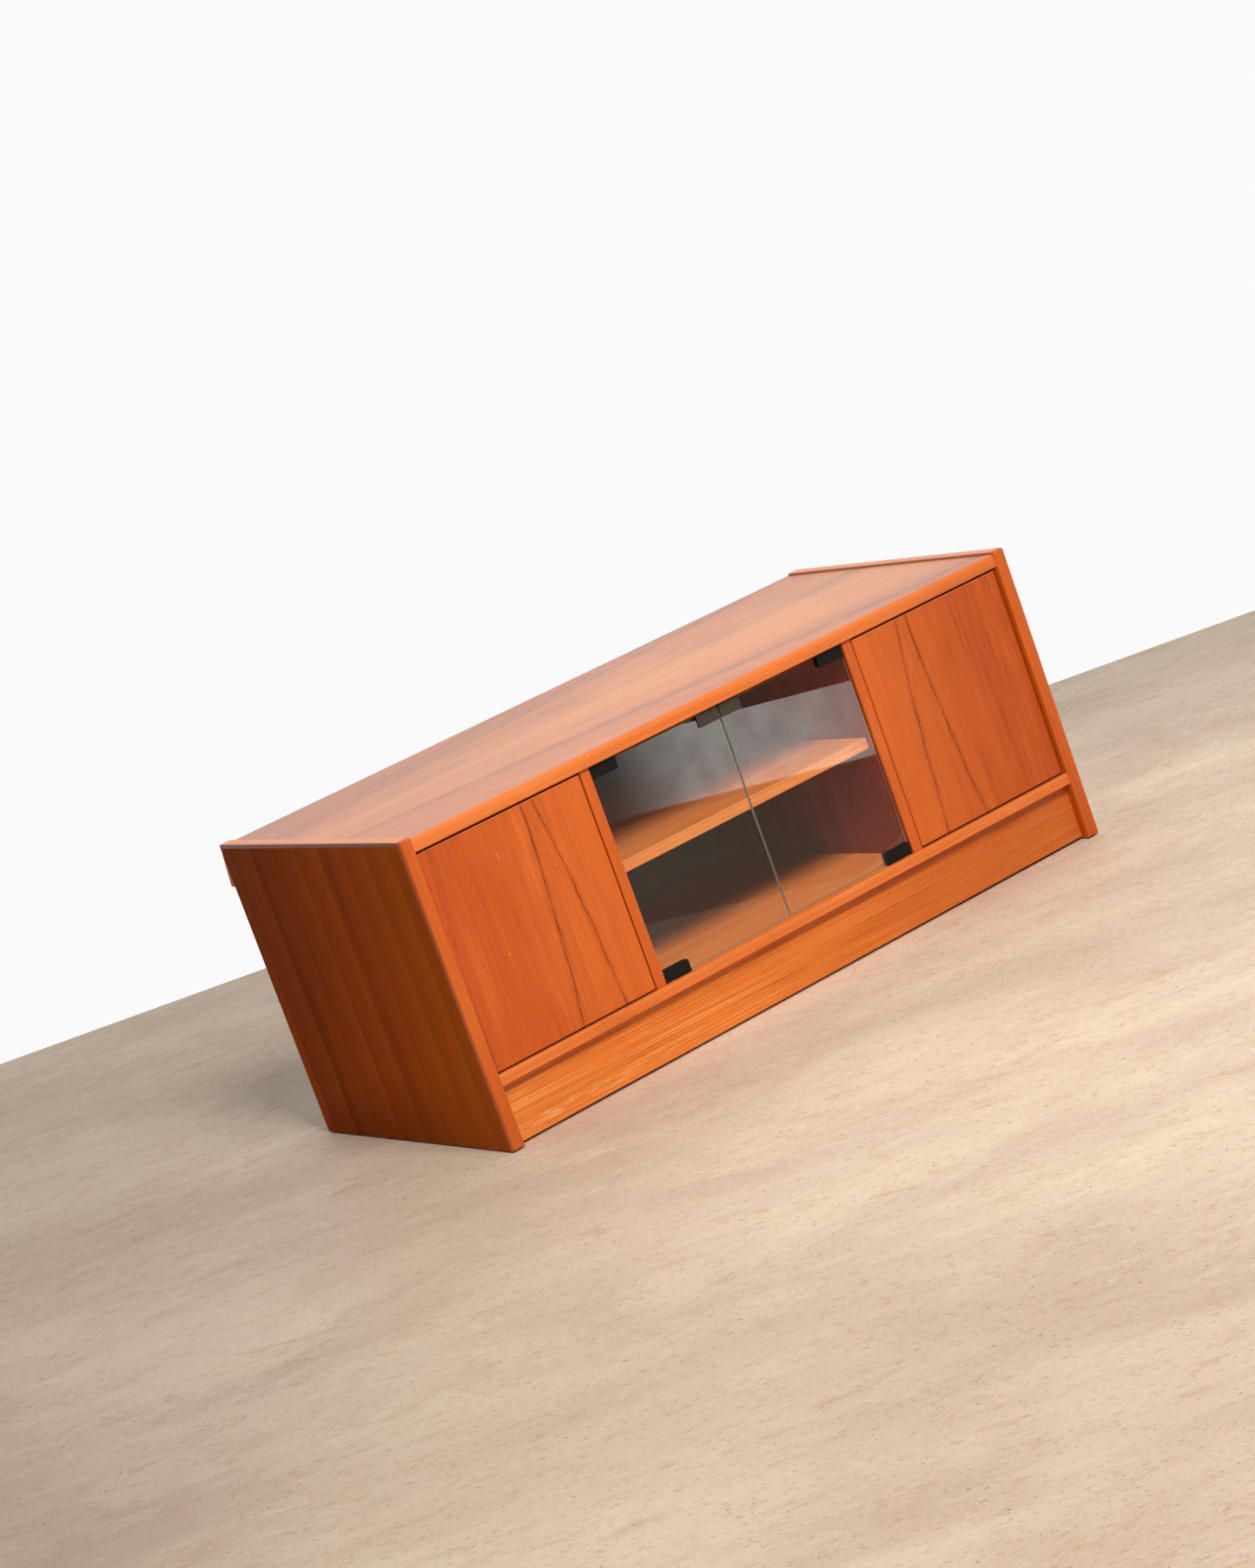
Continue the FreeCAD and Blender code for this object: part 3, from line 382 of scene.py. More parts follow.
def board_painted_glow():
    """A sheet that glows in place of lit white paint: painted light, brightest at its middle."""
    material, tree, shader, output, place = new_material("board_painted_glow")
    parts = parts_of(tree, place)
    # from a place on the floor back to the place on the upright board that it stands for
    beyond = -strip_reach.normalized()
    foot_distance = (BOARD_START - MIRRORED).dot(beyond)
    share = calc(tree, "DIVIDE", foot_distance, level_distance(tree, parts, beyond, MIRRORED))
    board_x = calc(tree, "MULTIPLY_ADD", minus(tree, parts[0], MIRRORED.x), share, MIRRORED.x)
    board_y = calc(tree, "MULTIPLY_ADD", minus(tree, parts[1], MIRRORED.y), share, MIRRORED.y)
    board_z = times(tree, minus(tree, 1.0, share), MIRRORED.z)
    clouds = drawn_noise(tree, (board_x, board_y, board_z), (15, 15, 15), 4, 0.6)
    strength = times(tree, ramp(tree, board_x, 0.60, 0.70, 0.06, 1.0),
                     ramp(tree, board_x, 0.81, 0.90, 1.0, 0.5), ramp(tree, board_z, 0.0, 0.005),
                     ramp(tree, clouds, 0.3, 0.7, 3.5, 4.9))
    set_glow(tree, shader, output, (1.0, 0.95, 0.90, 1), strength, from_behind(tree))
    return material


def strip_dark():
    """A dark sheet on the floor, black in full shade at the board's foot; further out and at its left end it
    glows faintly: painted light.
    """
    material, tree, shader, output, place = new_material("strip_dark")
    parts = parts_of(tree, place)
    from_board = level_distance(tree, parts, strip_reach.normalized(), BOARD_START)
    from_start = level_distance(tree, parts, along_board.normalized(), BOARD_START)
    left_end = times(tree, ramp(tree, from_start, 0.56, 0.34), ramp(tree, from_board, 0.2, 0.6))
    strength = calc(tree, "ADD", left_end, ramp(tree, from_board, 0.03, 0.06, 0.0, 0.25))
    strength = calc(tree, "ADD", strength, ramp(tree, from_board, STRIP_PALER, STRIP_PALER + 0.01, 0.0, 0.12))
    set_glow(tree, shader, output, (0.5, 0.45, 0.4, 1), strength, from_behind(tree))
    return material


def backing_black():
    material, tree, shader, output, _ = new_material("backing_black")
    set_glow(tree, shader, output, BLACK, 0.0)
    return material


white_board.data.materials.append(board_painted_glow())
backing.data.materials.append(backing_black())
strip.data.materials.append(strip_dark())
for sheet in (white_board, backing, strip):
    hide_from(sheet, "camera", "diffuse", "transmission", "volume_scatter", "shadow")
print(f"white board {along_board.length:.2f} m long, as if {BOARD_TALL.z / MM:.0f} mm high")

# %% [markdown]
# Teak. What the eye reads as teak is lines of very different widths that all run one way: soft bands
# a few centimetres wide, streaks of a few millimetres, fibres finer than a hair, and short dark
# pores. So the same noise is used four times, each time stretched hard along the grain. They sit in
# one node group, because every teak board shares them and only its grain's direction differs.

# %% The grain of teak, as a node group
def make_grain_group():
    group = bpy.data.node_groups.new("teak_grain", "ShaderNodeTree")
    for name in ("Along", "Across", "Deep", "Seed"):
        group.interface.new_socket(name, in_out="INPUT", socket_type="NodeSocketFloat")
    for name in ("Bands", "Clouds", "Streaks", "Fibres", "Pores", "Lines"):
        group.interface.new_socket(name, in_out="OUTPUT", socket_type="NodeSocketFloat")
    given = group.nodes.new("NodeGroupInput")
    result = group.nodes.new("NodeGroupOutput")
    seed = given.outputs["Seed"]
    along = calc(group, "ADD", given.outputs["Along"], times(group, seed, 3.7))
    across = calc(group, "ADD", given.outputs["Across"], times(group, seed, 1.3))
    deep = given.outputs["Deep"]

    # the whole grain wanders sideways by a few millimetres
    wander = drawn_noise(group, (along, across, deep), (2.2, 6, 6), 3)
    wander = times(group, minus(group, wander, 0.5), 0.016)
    across = calc(group, "ADD", across, wander)
    parts = (along, across, deep)

    bands = drawn_noise(group, parts, (0.7, 24, 24), 3, 0.55)
    clouds = drawn_noise(group, parts, (7, 20, 20), 4, 0.6, 0.4)
    streaks = drawn_noise(group, parts, (4.5, 230, 230), 4, 0.62)
    fibres = drawn_noise(group, parts, (22, 1500, 1500), 3, 0.6)
    ticks = drawn_noise(group, parts, (75, 2600, 2600), 1)
    pores = ramp(group, ticks, 0.66, 0.74)
    # growth rings, cut lengthwise: fine dark lines that come in flocks
    rings = calc(group, "SINE", times(group, across, 900.0))
    rings = ramp(group, rings, 0.35, 1.0)
    flock = ramp(group, drawn_noise(group, parts, (1.1, 46, 46), 2), 0.48, 0.66)
    lines = times(group, rings, flock)
    for name, value in (("Bands", bands), ("Clouds", clouds), ("Streaks", streaks),
                        ("Fibres", fibres), ("Pores", pores), ("Lines", lines)):
        group.links.new(value, result.inputs[name])
    return group


grain_group = make_grain_group()
print("grain group has", len(grain_group.nodes), "nodes")

# %% [markdown]
# A teak finish is that grain turned into colour, gloss and touch. The colour runs from a deep
# red-brown to a light orange. Oiled veneer has a satin gloss, a bit duller in the pores, and the
# pores and fibres can just be felt, so they also go into a very shallow bump.

# %% From grain to a finish
AXES = {"x": 0, "y": 1, "z": 2}
SHADES = {  # deep, middle and light
    "veneer": ((152, 54, 10), (194, 84, 24), (220, 112, 42)),
    # the sides' shades are darker than the doors': partly painted shade
    "side": ((131, 53, 2), (172, 75, 5), (196, 95, 9)),
    # the dividers' deep red: partly a darker veneer, partly painted shade of the bays' insides
    "divider": ((100, 16, 3), (128, 27, 6), (156, 46, 12)),
    "top": ((146, 68, 26), (218, 124, 54), (238, 150, 74)),
    "inside": ((178, 94, 36), (230, 134, 62), (246, 164, 90)),
    "solid": ((190, 88, 28), (224, 119, 51), (240, 146, 78)),
    "upright": ((172, 72, 16), (204, 94, 28), (222, 118, 46)),
    "plinth": ((184, 84, 22), (226, 124, 42), (246, 160, 84)),
}
PORE_BROWN = colour(92, 34, 10)
LINE_BROWN = colour(118, 44, 10)


def teak(name, grain, across, shades, seed=0.0, band=0.5, line=0.4, gloss=0.44, shine=0.35,
         cloud=0.75, fan=None, leaf=None, extra=None):
    """A teak finish whose grain runs along one axis; fan spreads the grain as it runs.

    Leaf is for veneer laid in strips cut from one log: how wide they are, and where one starts."""
    material, tree, shader, _, place = new_material(name)
    parts = parts_of(tree, place)
    deep_axis = ({"x", "y", "z"} - {grain, across}).pop()
    run, side, deep = (parts[AXES[axis]] for axis in (grain, across, deep_axis))
    flow = side
    if fan:
        middle, start, spread = fan
        wider = calc(tree, "MULTIPLY_ADD", minus(tree, run, start), spread, 1.0)
        flow = calc(tree, "DIVIDE", minus(tree, side, middle), wider)
    grain_node = add(tree, "ShaderNodeGroup")
    grain_node.node_tree = grain_group
    for socket, value in (("Along", run), ("Across", flow), ("Deep", deep)):
        tree.links.new(value, grain_node.inputs[socket])
    grain_node.inputs["Seed"].default_value = seed
    out = grain_node.outputs

    tone = nudge(tree, out["Bands"], band * 2.2, 0.5)
    tone = nudge(tree, out["Clouds"], cloud, tone)
    if leaf:
        leaf_wide, leaf_start = leaf
        count = calc(tree, "DIVIDE", minus(tree, flow, leaf_start), leaf_wide)
        place_in_leaf = calc(tree, "FRACT", count)
        tone = calc(tree, "ADD", tone, ramp(tree, place_in_leaf, 0.0, 1.0, 0.14, -0.15))
        own_shade = add(tree, "ShaderNodeTexWhiteNoise", {"W": calc(tree, "FLOOR", count)},
                        noise_dimensions="1D").outputs["Value"]
        tone = nudge(tree, own_shade, 0.16, tone)
        from_joint = calc(tree, "ABSOLUTE", minus(tree, place_in_leaf, 0.97))
    tone = nudge(tree, out["Streaks"], 0.9, tone)
    tone = nudge(tree, out["Fibres"], 0.35, tone, clamp=True)
    deep_shade, mid_shade, light_shade = SHADES[shades]
    mixed = fade(tree, colour(*deep_shade), tone, 0.0, 0.5, 1.0, mid_shade)
    mixed = fade(tree, mixed, tone, 0.5, 1.0, 1.0, light_shade)
    mixed = blend_colours(tree, times(tree, out["Lines"], line), mixed, LINE_BROWN)
    mixed = blend_colours(tree, times(tree, out["Pores"], 0.5), mixed, PORE_BROWN)
    if leaf:
        mixed = blend_colours(tree, ramp(tree, from_joint, 0.0, 0.03, 0.3, 0.0), mixed, LINE_BROWN)
    if extra:
        mixed = extra(tree, mixed, {"run": run, "side": side, "flow": flow, "deep": deep})
    tree.links.new(mixed, shader.inputs["Base Color"])

    dull = calc(tree, "MULTIPLY_ADD", out["Streaks"], 0.10, gloss - 0.05)
    dull = calc(tree, "MULTIPLY_ADD", out["Pores"], 0.12, dull)
    tree.links.new(dull, shader.inputs["Roughness"])
    shader.inputs["IOR"].default_value = 1.5
    shader.inputs["Specular IOR Level"].default_value = shine
    relief = calc(tree, "MULTIPLY_ADD", out["Pores"], -0.7, out["Fibres"])
    relief = calc(tree, "MULTIPLY_ADD", out["Streaks"], 0.5, relief)
    bump(tree, shader, relief, 0.00012, 0.6)
    return material


def dress(material, *names):
    """Give CAD nodes a finish."""
    for name in names:
        nodes[name].data.materials.clear()
        nodes[name].data.materials.append(material)


print("shades of teak:", ", ".join(SHADES))

# %% [markdown]
# Figure, wear and painted light and shade, board by board. The doors are cut from one strip of veneer, laid
# as mirror twins.
# Each has two dark lines that start close together at the top and part towards the bottom, like a
# tall tent. A line is drawn as the distance to a gentle curve, with a little noise so that it
# swells, fades and trembles. The top has a yellow heart with dark streaks fanning out beside it.
# The boards aren't even in tone either. The sides are yellower towards the front and darker at the
# rear, partly fading and partly painted light and shade; the foot is darker; the bays' floors and the
# shelves are painted much darker at the back, painted shade that the one lamp here doesn't give; the
# right door, the long lippings and the plinth turn darker to the right, painted shade where the light
# falls off; the lippings' flanks and the doors' gaps carry painted shade, the doors' top edge a painted
# highlight; and the plinth is scuffed. All of it is painted into the finish, fixed to the boards, so it
# stays there in any light.

# %% Figure, wear and painted light and shade
def curve_value(tree, share, at_top, at_middle, at_bottom):
    """A gentle curve through three places: at the top, half-way and at the bottom."""
    bend = 2 * (at_bottom + at_top) - 4 * at_middle
    slope = at_bottom - at_top - bend
    value = calc(tree, "MULTIPLY_ADD", share, bend, slope)
    return calc(tree, "MULTIPLY_ADD", value, share, at_top)


def dark_line(tree, base, away, run, half_width, strength, seed, ink_colour=colour(112, 30, 12)):
    """Draw a dark line over a colour, where away, the signed distance to it, is small."""
    start = calc(tree, "ADD", run, seed)
    slow = drawn_noise(tree, (start, 0.0, 0.0), (14, 0, 0), 2)
    quick = drawn_noise(tree, (start, 0.0, 0.0), (85, 0, 0), 2)
    shake = times(tree, minus(tree, slow, 0.5), 0.009)
    shake = nudge(tree, quick, 0.0022, shake)
    away = calc(tree, "ABSOLUTE", minus(tree, away, shake))
    breaks = drawn_noise(tree, (start, away, 0.0), (24, 140, 0), 4, 0.6)
    swell = ramp(tree, breaks, 0.34, 0.66, 0.55, 1.5)
    away = calc(tree, "DIVIDE", away, swell)
    ink = ramp(tree, away, half_width * 0.2, half_width * 1.5, 1.0, 0.0)
    halo = ramp(tree, away, half_width, half_width * 8, 0.25, 0.0)
    ink = times(tree, ink, ramp(tree, breaks, 0.3, 0.6, 0.55 * strength, strength))
    ink = calc(tree, "MAXIMUM", ink, times(tree, halo, strength))
    return blend_colours(tree, ink, base, ink_colour)


def near(tree, value, middle, reach, amount=1.0):
    """How near a value is to a middle: the amount there, and 0 beyond the reach."""
    away = calc(tree, "ABSOLUTE", minus(tree, value, middle))
    return ramp(tree, away, 0.0, reach, amount, 0.0)


def mark(tree, base, across, run, middle, half_size, shade, amount):
    """A small nick or spot."""
    spot = times(tree, near(tree, across, middle[0], half_size[0]),
                 near(tree, run, middle[1], half_size[1], amount))
    return blend_colours(tree, spot, base, colour(*shade))


LINE_PLACES = (  # where at the top, half-way and at the bottom; half width; strength
    ((0.3345, 0.3435, 0.3590), 0.0009, 1.0),
    ((0.3175, 0.2985, 0.2880), 0.0008, 0.95),
    ((0.4850, 0.4975, 0.5010), 0.0008, 0.45),
    ((0.3270, 0.3290, 0.3340), 0.0018, 0.16),
    ((0.3700, 0.3740, 0.3860), 0.0016, 0.12),
)
ARCH_TIP, ARCH_STEEP = (0.3250, 0.3360), 90.0
# the last of these three shades is painted shade, for the dark gap under a door
PALE_NICK, DARK_SPOT, GAP_SHADE_BROWN = (244, 176, 130), (110, 44, 18), (46, 12, 4)
DOOR_MARKS = (  # where across and up; half its width and height; its shade, and how strong it is
    ((-0.426, 0.236), (0.0016, 0.0016), PALE_NICK, 0.9),
    ((0.257, 0.132), (0.0018, 0.0014), DARK_SPOT, 0.7),
    ((0.395, 0.133), (0.0015, 0.0015), DARK_SPOT, 0.7),
)
SCRATCH_HEIGHT, SCRATCH_BEND = 0.352, 14.0


def door_lines(tree, plain, at):
    """The dark lines of a door, the arch between them, the marks of wear, and painted light and shade."""
    run, side = at["run"], at["side"]
    door_low, door_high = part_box("door_left_panel")
    tall = door_high.z - door_low.z
    share = calc(tree, "DIVIDE", minus(tree, door_high.z, run), tall)
    mirrored = calc(tree, "ABSOLUTE", side)
    light_side = ramp(tree, mirrored, 0.26, 0.47, 0.36, 0.0)
    base = blend_colours(tree, light_side, plain, colour(236, 124, 44))
    for index, (places, half_width, strength) in enumerate(LINE_PLACES):
        away = minus(tree, mirrored, curve_value(tree, share, *places))
        base = dark_line(tree, base, away, run, half_width, strength, index * 2.3)

    # nested faint arches, as where the cut just grazes the heart of the tree
    aside = minus(tree, mirrored, ARCH_TIP[0])
    bow = times(tree, aside, aside, ARCH_STEEP)
    below_tip = minus(tree, minus(tree, ARCH_TIP[1], bow), run)
    wobble = drawn_noise(tree, (run, side, 0.0), (60, 60, 0), 3)
    below_tip = nudge(tree, wobble, 0.026, below_tip)
    nest = ramp(tree, calc(tree, "SINE", times(tree, below_tip, 380.0)), 0.2, 1.0)
    nest = times(tree, nest, ramp(tree, drawn_noise(tree, (run, side, 0.0), (95, 260, 0), 3), 0.38, 0.60))
    inside = times(tree, ramp(tree, below_tip, -0.004, 0.004), ramp(tree, below_tip, 0.012, 0.055, 1.0, 0.0))
    inside = times(tree, inside, near(tree, mirrored, 0.317, 0.017))
    base = blend_colours(tree, times(tree, nest, inside, 0.5), base, colour(150, 56, 28))

    # fine straight dark streaks on the outer half of the right door only
    fine = ramp(tree, drawn_noise(tree, (side, run, 0.0), (620, 4.5, 0), 3, 0.6), 0.52, 0.66)
    zone = times(tree, ramp(tree, side, 0.36, 0.44), ramp(tree, run, 0.12, 0.40, 0.2, 0.5))
    base = blend_colours(tree, times(tree, fine, zone), base, colour(104, 36, 12))
    # painted shade: the right door turns darker, as the light falls off to the right
    base = fade(tree, base, side, 0.2, 0.3, 0.14, (140, 54, 16))

    # a painted highlight along the top edge, and painted shade in the gaps above and below
    from_top = minus(tree, door_high.z, run)
    arris = times(tree, ramp(tree, from_top, 2.4 * MM, 1.6 * MM), ramp(tree, from_top, 0.4 * MM, 0.8 * MM))
    base = blend_colours(tree, times(tree, arris, 0.55), base, colour(255, 186, 120))
    base = fade(tree, base, from_top, 0.5 * MM, 0.1 * MM, 0.5, (60, 22, 8))
    base = fade(tree, base, run, door_low.z + 2.5 * MM, door_low.z + 1.0 * MM, 0.9, GAP_SHADE_BROWN)

    # the scratch is a short bent line: across is measured from a parabola instead of a straight line
    bent = calc(tree, "POWER", minus(tree, run, SCRATCH_HEIGHT), 2.0)
    bent = calc(tree, "MULTIPLY_ADD", bent, SCRATCH_BEND, side)
    base = mark(tree, base, bent, run, (-0.3915, 0.360), (0.0009, 0.0085), PALE_NICK, 0.75)
    for place, half_size, shade, amount in DOOR_MARKS:
        base = mark(tree, base, side, run, place, half_size, shade, amount)
    on_front = calc(tree, "LESS_THAN", at["deep"], (door_low.y + door_high.y) / 2)
    return blend_colours(tree, on_front, plain, base)


def top_figure(tree, base, at):
    """The top: yellow and plain in the middle, dark pairs of streaks beside it, darker at both ends and the
    rear.
    """
    run, side, flow = at["run"], at["side"], at["flow"]
    heart = near(tree, flow, 0.0, 0.085, 0.32)
    base = blend_colours(tree, heart, base, colour(250, 172, 84))
    for value, start, end, amount, shade in (
            (flow, 0.07, 0.16, 0.34, (176, 84, 44)), (flow, -0.08, -0.13, 0.22, (204, 96, 56)),
            (run, 0.10, -0.50, 0.36, (164, 84, 38)), (run, 0.15, 0.52, 0.22, (170, 92, 52))):
        base = fade(tree, base, value, start, end, amount, shade)
    rear_left = times(tree, ramp(tree, run, -0.05, -0.5), ramp(tree, side, 0.0, 0.25, 0.0, 0.26))
    base = blend_colours(tree, rear_left, base, colour(140, 74, 40))
    base = fade(tree, base, side, 0.08, 0.25, 0.26, (160, 78, 44))
    for index, (place, half_width, strength) in enumerate(TOP_LINES):
        away = minus(tree, flow, place)
        base = dark_line(tree, base, away, run, half_width, strength, 20.0 + index * 3.1, colour(96, 40, 20))
    return base


TOP_LINES = ((0.086, 0.0024, 0.5), (0.100, 0.0030, 0.5), (-0.084, 0.0026, 0.6), (-0.092, 0.0020, 0.4),
             (0.123, 0.0018, 0.3), (-0.012, 0.0012, 0.22), (0.020, 0.0014, 0.2), (-0.110, 0.0016, 0.25))


def painted_bay_shade(tree, base, at):
    """The floors of the bays and the shelves turn much darker from the middle to the back: painted shade."""
    return fade(tree, base, at["side"], -0.09, 0.02, 0.75, (104, 54, 28))


def side_fading_and_shade(tree, base, at):
    """Sides: lighter, yellower to the front, darker at rear and foot; part fading, part painted light and
    shade.
    """
    rear_or_foot = calc(tree, "MAXIMUM", ramp(tree, at["side"], 0.02, 0.25, 0.0, 0.30),
                        ramp(tree, at["run"], 0.12, 0.0, 0.0, 0.45))
    base = blend_colours(tree, rear_or_foot, base, colour(92, 34, 6))
    return fade(tree, base, at["side"], 0.05, -0.25, 0.30, (236, 122, 20))


def darker_foot(tree, base, at):
    """The upright lippings are a shade darker near the floor."""
    return fade(tree, base, at["run"], 0.16, 0.0, 0.22, (146, 58, 16))


def painted_shade_right_end(tree, base, at):
    """The long lippings turn darker towards the right end: painted shade, where the light falls off."""
    return fade(tree, base, at["run"], 0.1, 0.55, 0.22, (176, 76, 26))


def shaded_flanks(tree, base, at):
    """The flanks of the upper side lippings are painted as brown as the sides, painted shade; only their tops
    are pale.
    """
    facing = add(tree, "ShaderNodeTexCoord").outputs["Normal"]
    flank = calc(tree, "ABSOLUTE", parts_of(tree, facing)[0])
    return fade(tree, base, flank, 0.5, 0.8, 0.75, (104, 38, 10))


def plinth_marks_and_shade(tree, base, at):
    """The plinth: strong fine streaks, paler scuffs low at the left, and painted shade darker to the right.
    """
    run, side = at["run"], at["side"]
    sloping = calc(tree, "MULTIPLY_ADD", run, 0.012, side)
    fine = drawn_noise(tree, (run, sloping, 0.0), (3, 520, 0), 4, 0.6)
    base = fade(tree, base, fine, 0.50, 0.68, 0.6, (172, 74, 22))
    base = fade(tree, base, fine, 0.46, 0.30, 0.55, (255, 186, 112))
    low_left = times(tree, near(tree, side, 0.020, 0.012), ramp(tree, run, -0.46, -0.10, 1.0, 0.0))
    scuffs = drawn_noise(tree, (run, side, 0.0), (26, 500, 0), 3)
    scuffs = times(tree, ramp(tree, scuffs, 0.5, 0.62, 0, 0.7), low_left)
    base = blend_colours(tree, scuffs, base, colour(244, 190, 132))
    # painted shade: darker to the right, where the light falls off
    return fade(tree, base, run, -0.3, 0.5, 0.52, (166, 66, 22))


print(len(LINE_PLACES), "lines on each door,", len(TOP_LINES), "on the top")

# %% [markdown]
# Now each board gets its own cut of veneer. Sides, doors and dividers have upright grain; the top,
# the bottom, the shelves and the plinth have it lengthwise. The seed shifts the pattern, so that no
# two boards look alike, except the doors, which are meant to.

# %% Dress the wooden parts
dress(teak("veneer_doors", "z", "x", "veneer", 0.0, 0.35, 0.25, extra=door_lines),
      "door_left_panel", "door_right_panel")
dress(teak("veneer_top", "x", "y", "top", 2.0, 0.5, 0.5, gloss=0.32, shine=0.82,
           fan=(0.007, -0.5, 1.78), extra=top_figure), "top_panel")
dress(teak("veneer_plinth", "x", "z", "plinth", 3.0, 0.4, 0.25, extra=plinth_marks_and_shade), "plinth_front")
dress(teak("veneer_bottom", "x", "y", "inside", 4.0, 0.5, 0.3, extra=painted_bay_shade), "bottom_panel")
for index, name in enumerate(("shelf_centre", "shelf_left", "shelf_right")):
    dress(teak("veneer_" + name, "x", "y", "inside", 5.0 + index, 0.4, 0.3, extra=painted_bay_shade), name)
for index, name in enumerate(("divider_left", "divider_right")):
    dress(teak("veneer_" + name, "z", "y", "divider", 9.0 + index, 0.7, 0.3), name)
LEAF_WIDE, LEAF_START = 0.063, -0.1545
for index, name in enumerate(("side_panel_left", "side_panel_right")):
    dress(teak("veneer_" + name, "z", "y", "side", 11.0 + index, 0.2, 0.2, gloss=0.5, shine=0.02,
               cloud=0.3, leaf=(LEAF_WIDE, LEAF_START), extra=side_fading_and_shade), name)
dress(teak("solid_lengthwise", "x", "z", "solid", 14.0, 0.3, 0.2, extra=painted_shade_right_end),
      "top_front_lipping", "bottom_front_lipping", "rear_rail")
dress(teak("solid_shelf_edge", "x", "z", "inside", 17.0, 0.3, 0.2), "shelf_centre_lipping")
dress(teak("solid_upright", "z", "x", "upright", 15.0, 0.3, 0.2, extra=darker_foot),
      "side_front_lipping_left", "side_front_lipping_right", "divider_lipping_left",
      "divider_lipping_right")
dress(teak("solid_fore_and_aft", "y", "x", "top", 16.0, 0.3, 0.2, gloss=0.34, shine=0.8,
           extra=shaded_flanks),
      "side_top_lipping_left", "side_top_lipping_right")
print("teak on",
      sum(1 for node in nodes.values() if node.data.materials[0].name.startswith(("veneer", "solid"))),
      "boards")

# %% [markdown]
# Plain wood for the dowels and glue blocks, and hardboard for the back. Hardboard is pressed fibre:
# flat brown with short pale hairs that lie every way.

# %% Plain wood and hardboard
def plain_wood():
    material, tree, shader, _, place = new_material("plain_beech")
    parts = parts_of(tree, place)
    rings = drawn_noise(tree, parts, (12, 260, 260), 4, 0.6)
    flecks = drawn_noise(tree, parts, (160, 1100, 1100), 1)
    base = fade(tree, colour(186, 146, 100), rings, 0.3, 0.7, 1.0, (214, 178, 130))
    base = fade(tree, base, flecks, 0.62, 0.7, 0.5, (150, 106, 66))
    tree.links.new(base, shader.inputs["Base Color"])
    tree.links.new(ramp(tree, rings, 0.3, 0.7, 0.55, 0.7), shader.inputs["Roughness"])
    bump(tree, shader, rings, 0.0001)
    return material


def hardboard():
    material, tree, shader, _, place = new_material("hardboard")
    parts = parts_of(tree, place)
    fibres = noise(tree, place, 420, 4, 0.7, 1.8)
    clouds = noise(tree, place, 14, 3)
    rear_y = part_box("back_panel")[1].y
    rear_face = ramp(tree, parts[1], rear_y - 0.5 * MM, rear_y - 0.1 * MM)
    smooth_side = fade(tree, colour(70, 44, 28), clouds, 0.3, 0.7, 1.0, (84, 54, 34))
    rough_side = fade(tree, colour(122, 86, 56), clouds, 0.3, 0.7, 1.0, (142, 104, 70))
    base = blend_colours(tree, rear_face, smooth_side, rough_side)
    hairs = times(tree, ramp(tree, fibres, 0.5, 0.75), ramp(tree, rear_face, 0.0, 1.0, 0.08, 0.6))
    base = blend_colours(tree, hairs, base, colour(176, 138, 98))
    tree.links.new(base, shader.inputs["Base Color"])
    tree.links.new(ramp(tree, fibres, 0.3, 0.7, 0.6, 0.75), shader.inputs["Roughness"])
    weave = times(tree, *(calc(tree, "SINE", times(tree, parts[axis], 3500.0)) for axis in (0, 2)))
    relief = times(tree, calc(tree, "MULTIPLY_ADD", weave, 0.4, fibres), rear_face)
    bump(tree, shader, relief, 0.0002, 0.7)
    return material


dress(plain_wood(), "case_dowels", "plinth_glue_blocks")
dress(hardboard(), "back_panel")

# %% [markdown]
# Glass. A sheet of float glass is clear, with a breath of green that shows only at its edges. A
# path tracer can't find its lamp through a refracting pane, so the bay behind it would go black.
# The usual remedy is used: for shadow rays and for light that has bounced, the pane is simply
# see-through with a faint tint; for the camera and for reflections it is real glass.

# %% Glass
def clear_glass():
    material, tree, shader, output, place = new_material("clear_glass")
    facing = add(tree, "ShaderNodeTexCoord").outputs["Normal"]
    facing_parts = parts_of(tree, facing)
    edge = ramp(tree, calc(tree, "ABSOLUTE", facing_parts["Y"]), 0.2, 0.8, 1.0, 0.0)
    tint = blend_colours(tree, edge, (0.97, 0.985, 0.975, 1), (0.40, 0.56, 0.46, 1))
    tree.links.new(tint, shader.inputs["Base Color"])
    parts = parts_of(tree, place)
    smear = drawn_noise(tree, parts, (14, 14, 5), 4, 0.6, 0.8)
    polish = calc(tree, "MULTIPLY_ADD", edge, 0.3, ramp(tree, smear, 0.5, 0.8, 0.0, 0.012))
    tree.links.new(polish, shader.inputs["Roughness"])
    tree.links.new(ramp(tree, edge, 0.0, 1.0, 1.0, 0.45), shader.inputs["Transmission Weight"])
    shader.inputs["IOR"].default_value = 1.52
    clear = add(tree, "ShaderNodeBsdfTransparent", {"Color": (0.97, 0.98, 0.97, 1)})
    light = add(tree, "ShaderNodeLightPath").outputs
    through = calc(tree, "MAXIMUM", light["Is Shadow Ray"], light["Is Diffuse Ray"])
    pane = add(tree, "ShaderNodeMixShader", {0: through, 1: shader.outputs[0], 2: clear.outputs[0]})
    tree.links.new(pane.outputs[0], output.inputs["Surface"])
    return material


dress(clear_glass(), "glass_left_pane", "glass_right_pane")

# %% [markdown]
# Metals, plastics and rubber are small here but they catch the eye. Each is a base colour broken by
# fine noise: handling marks on the black clips, brushing on the grey strikers, drawn lines on steel
# and brass, an orange-peel skin on moulded plastic.

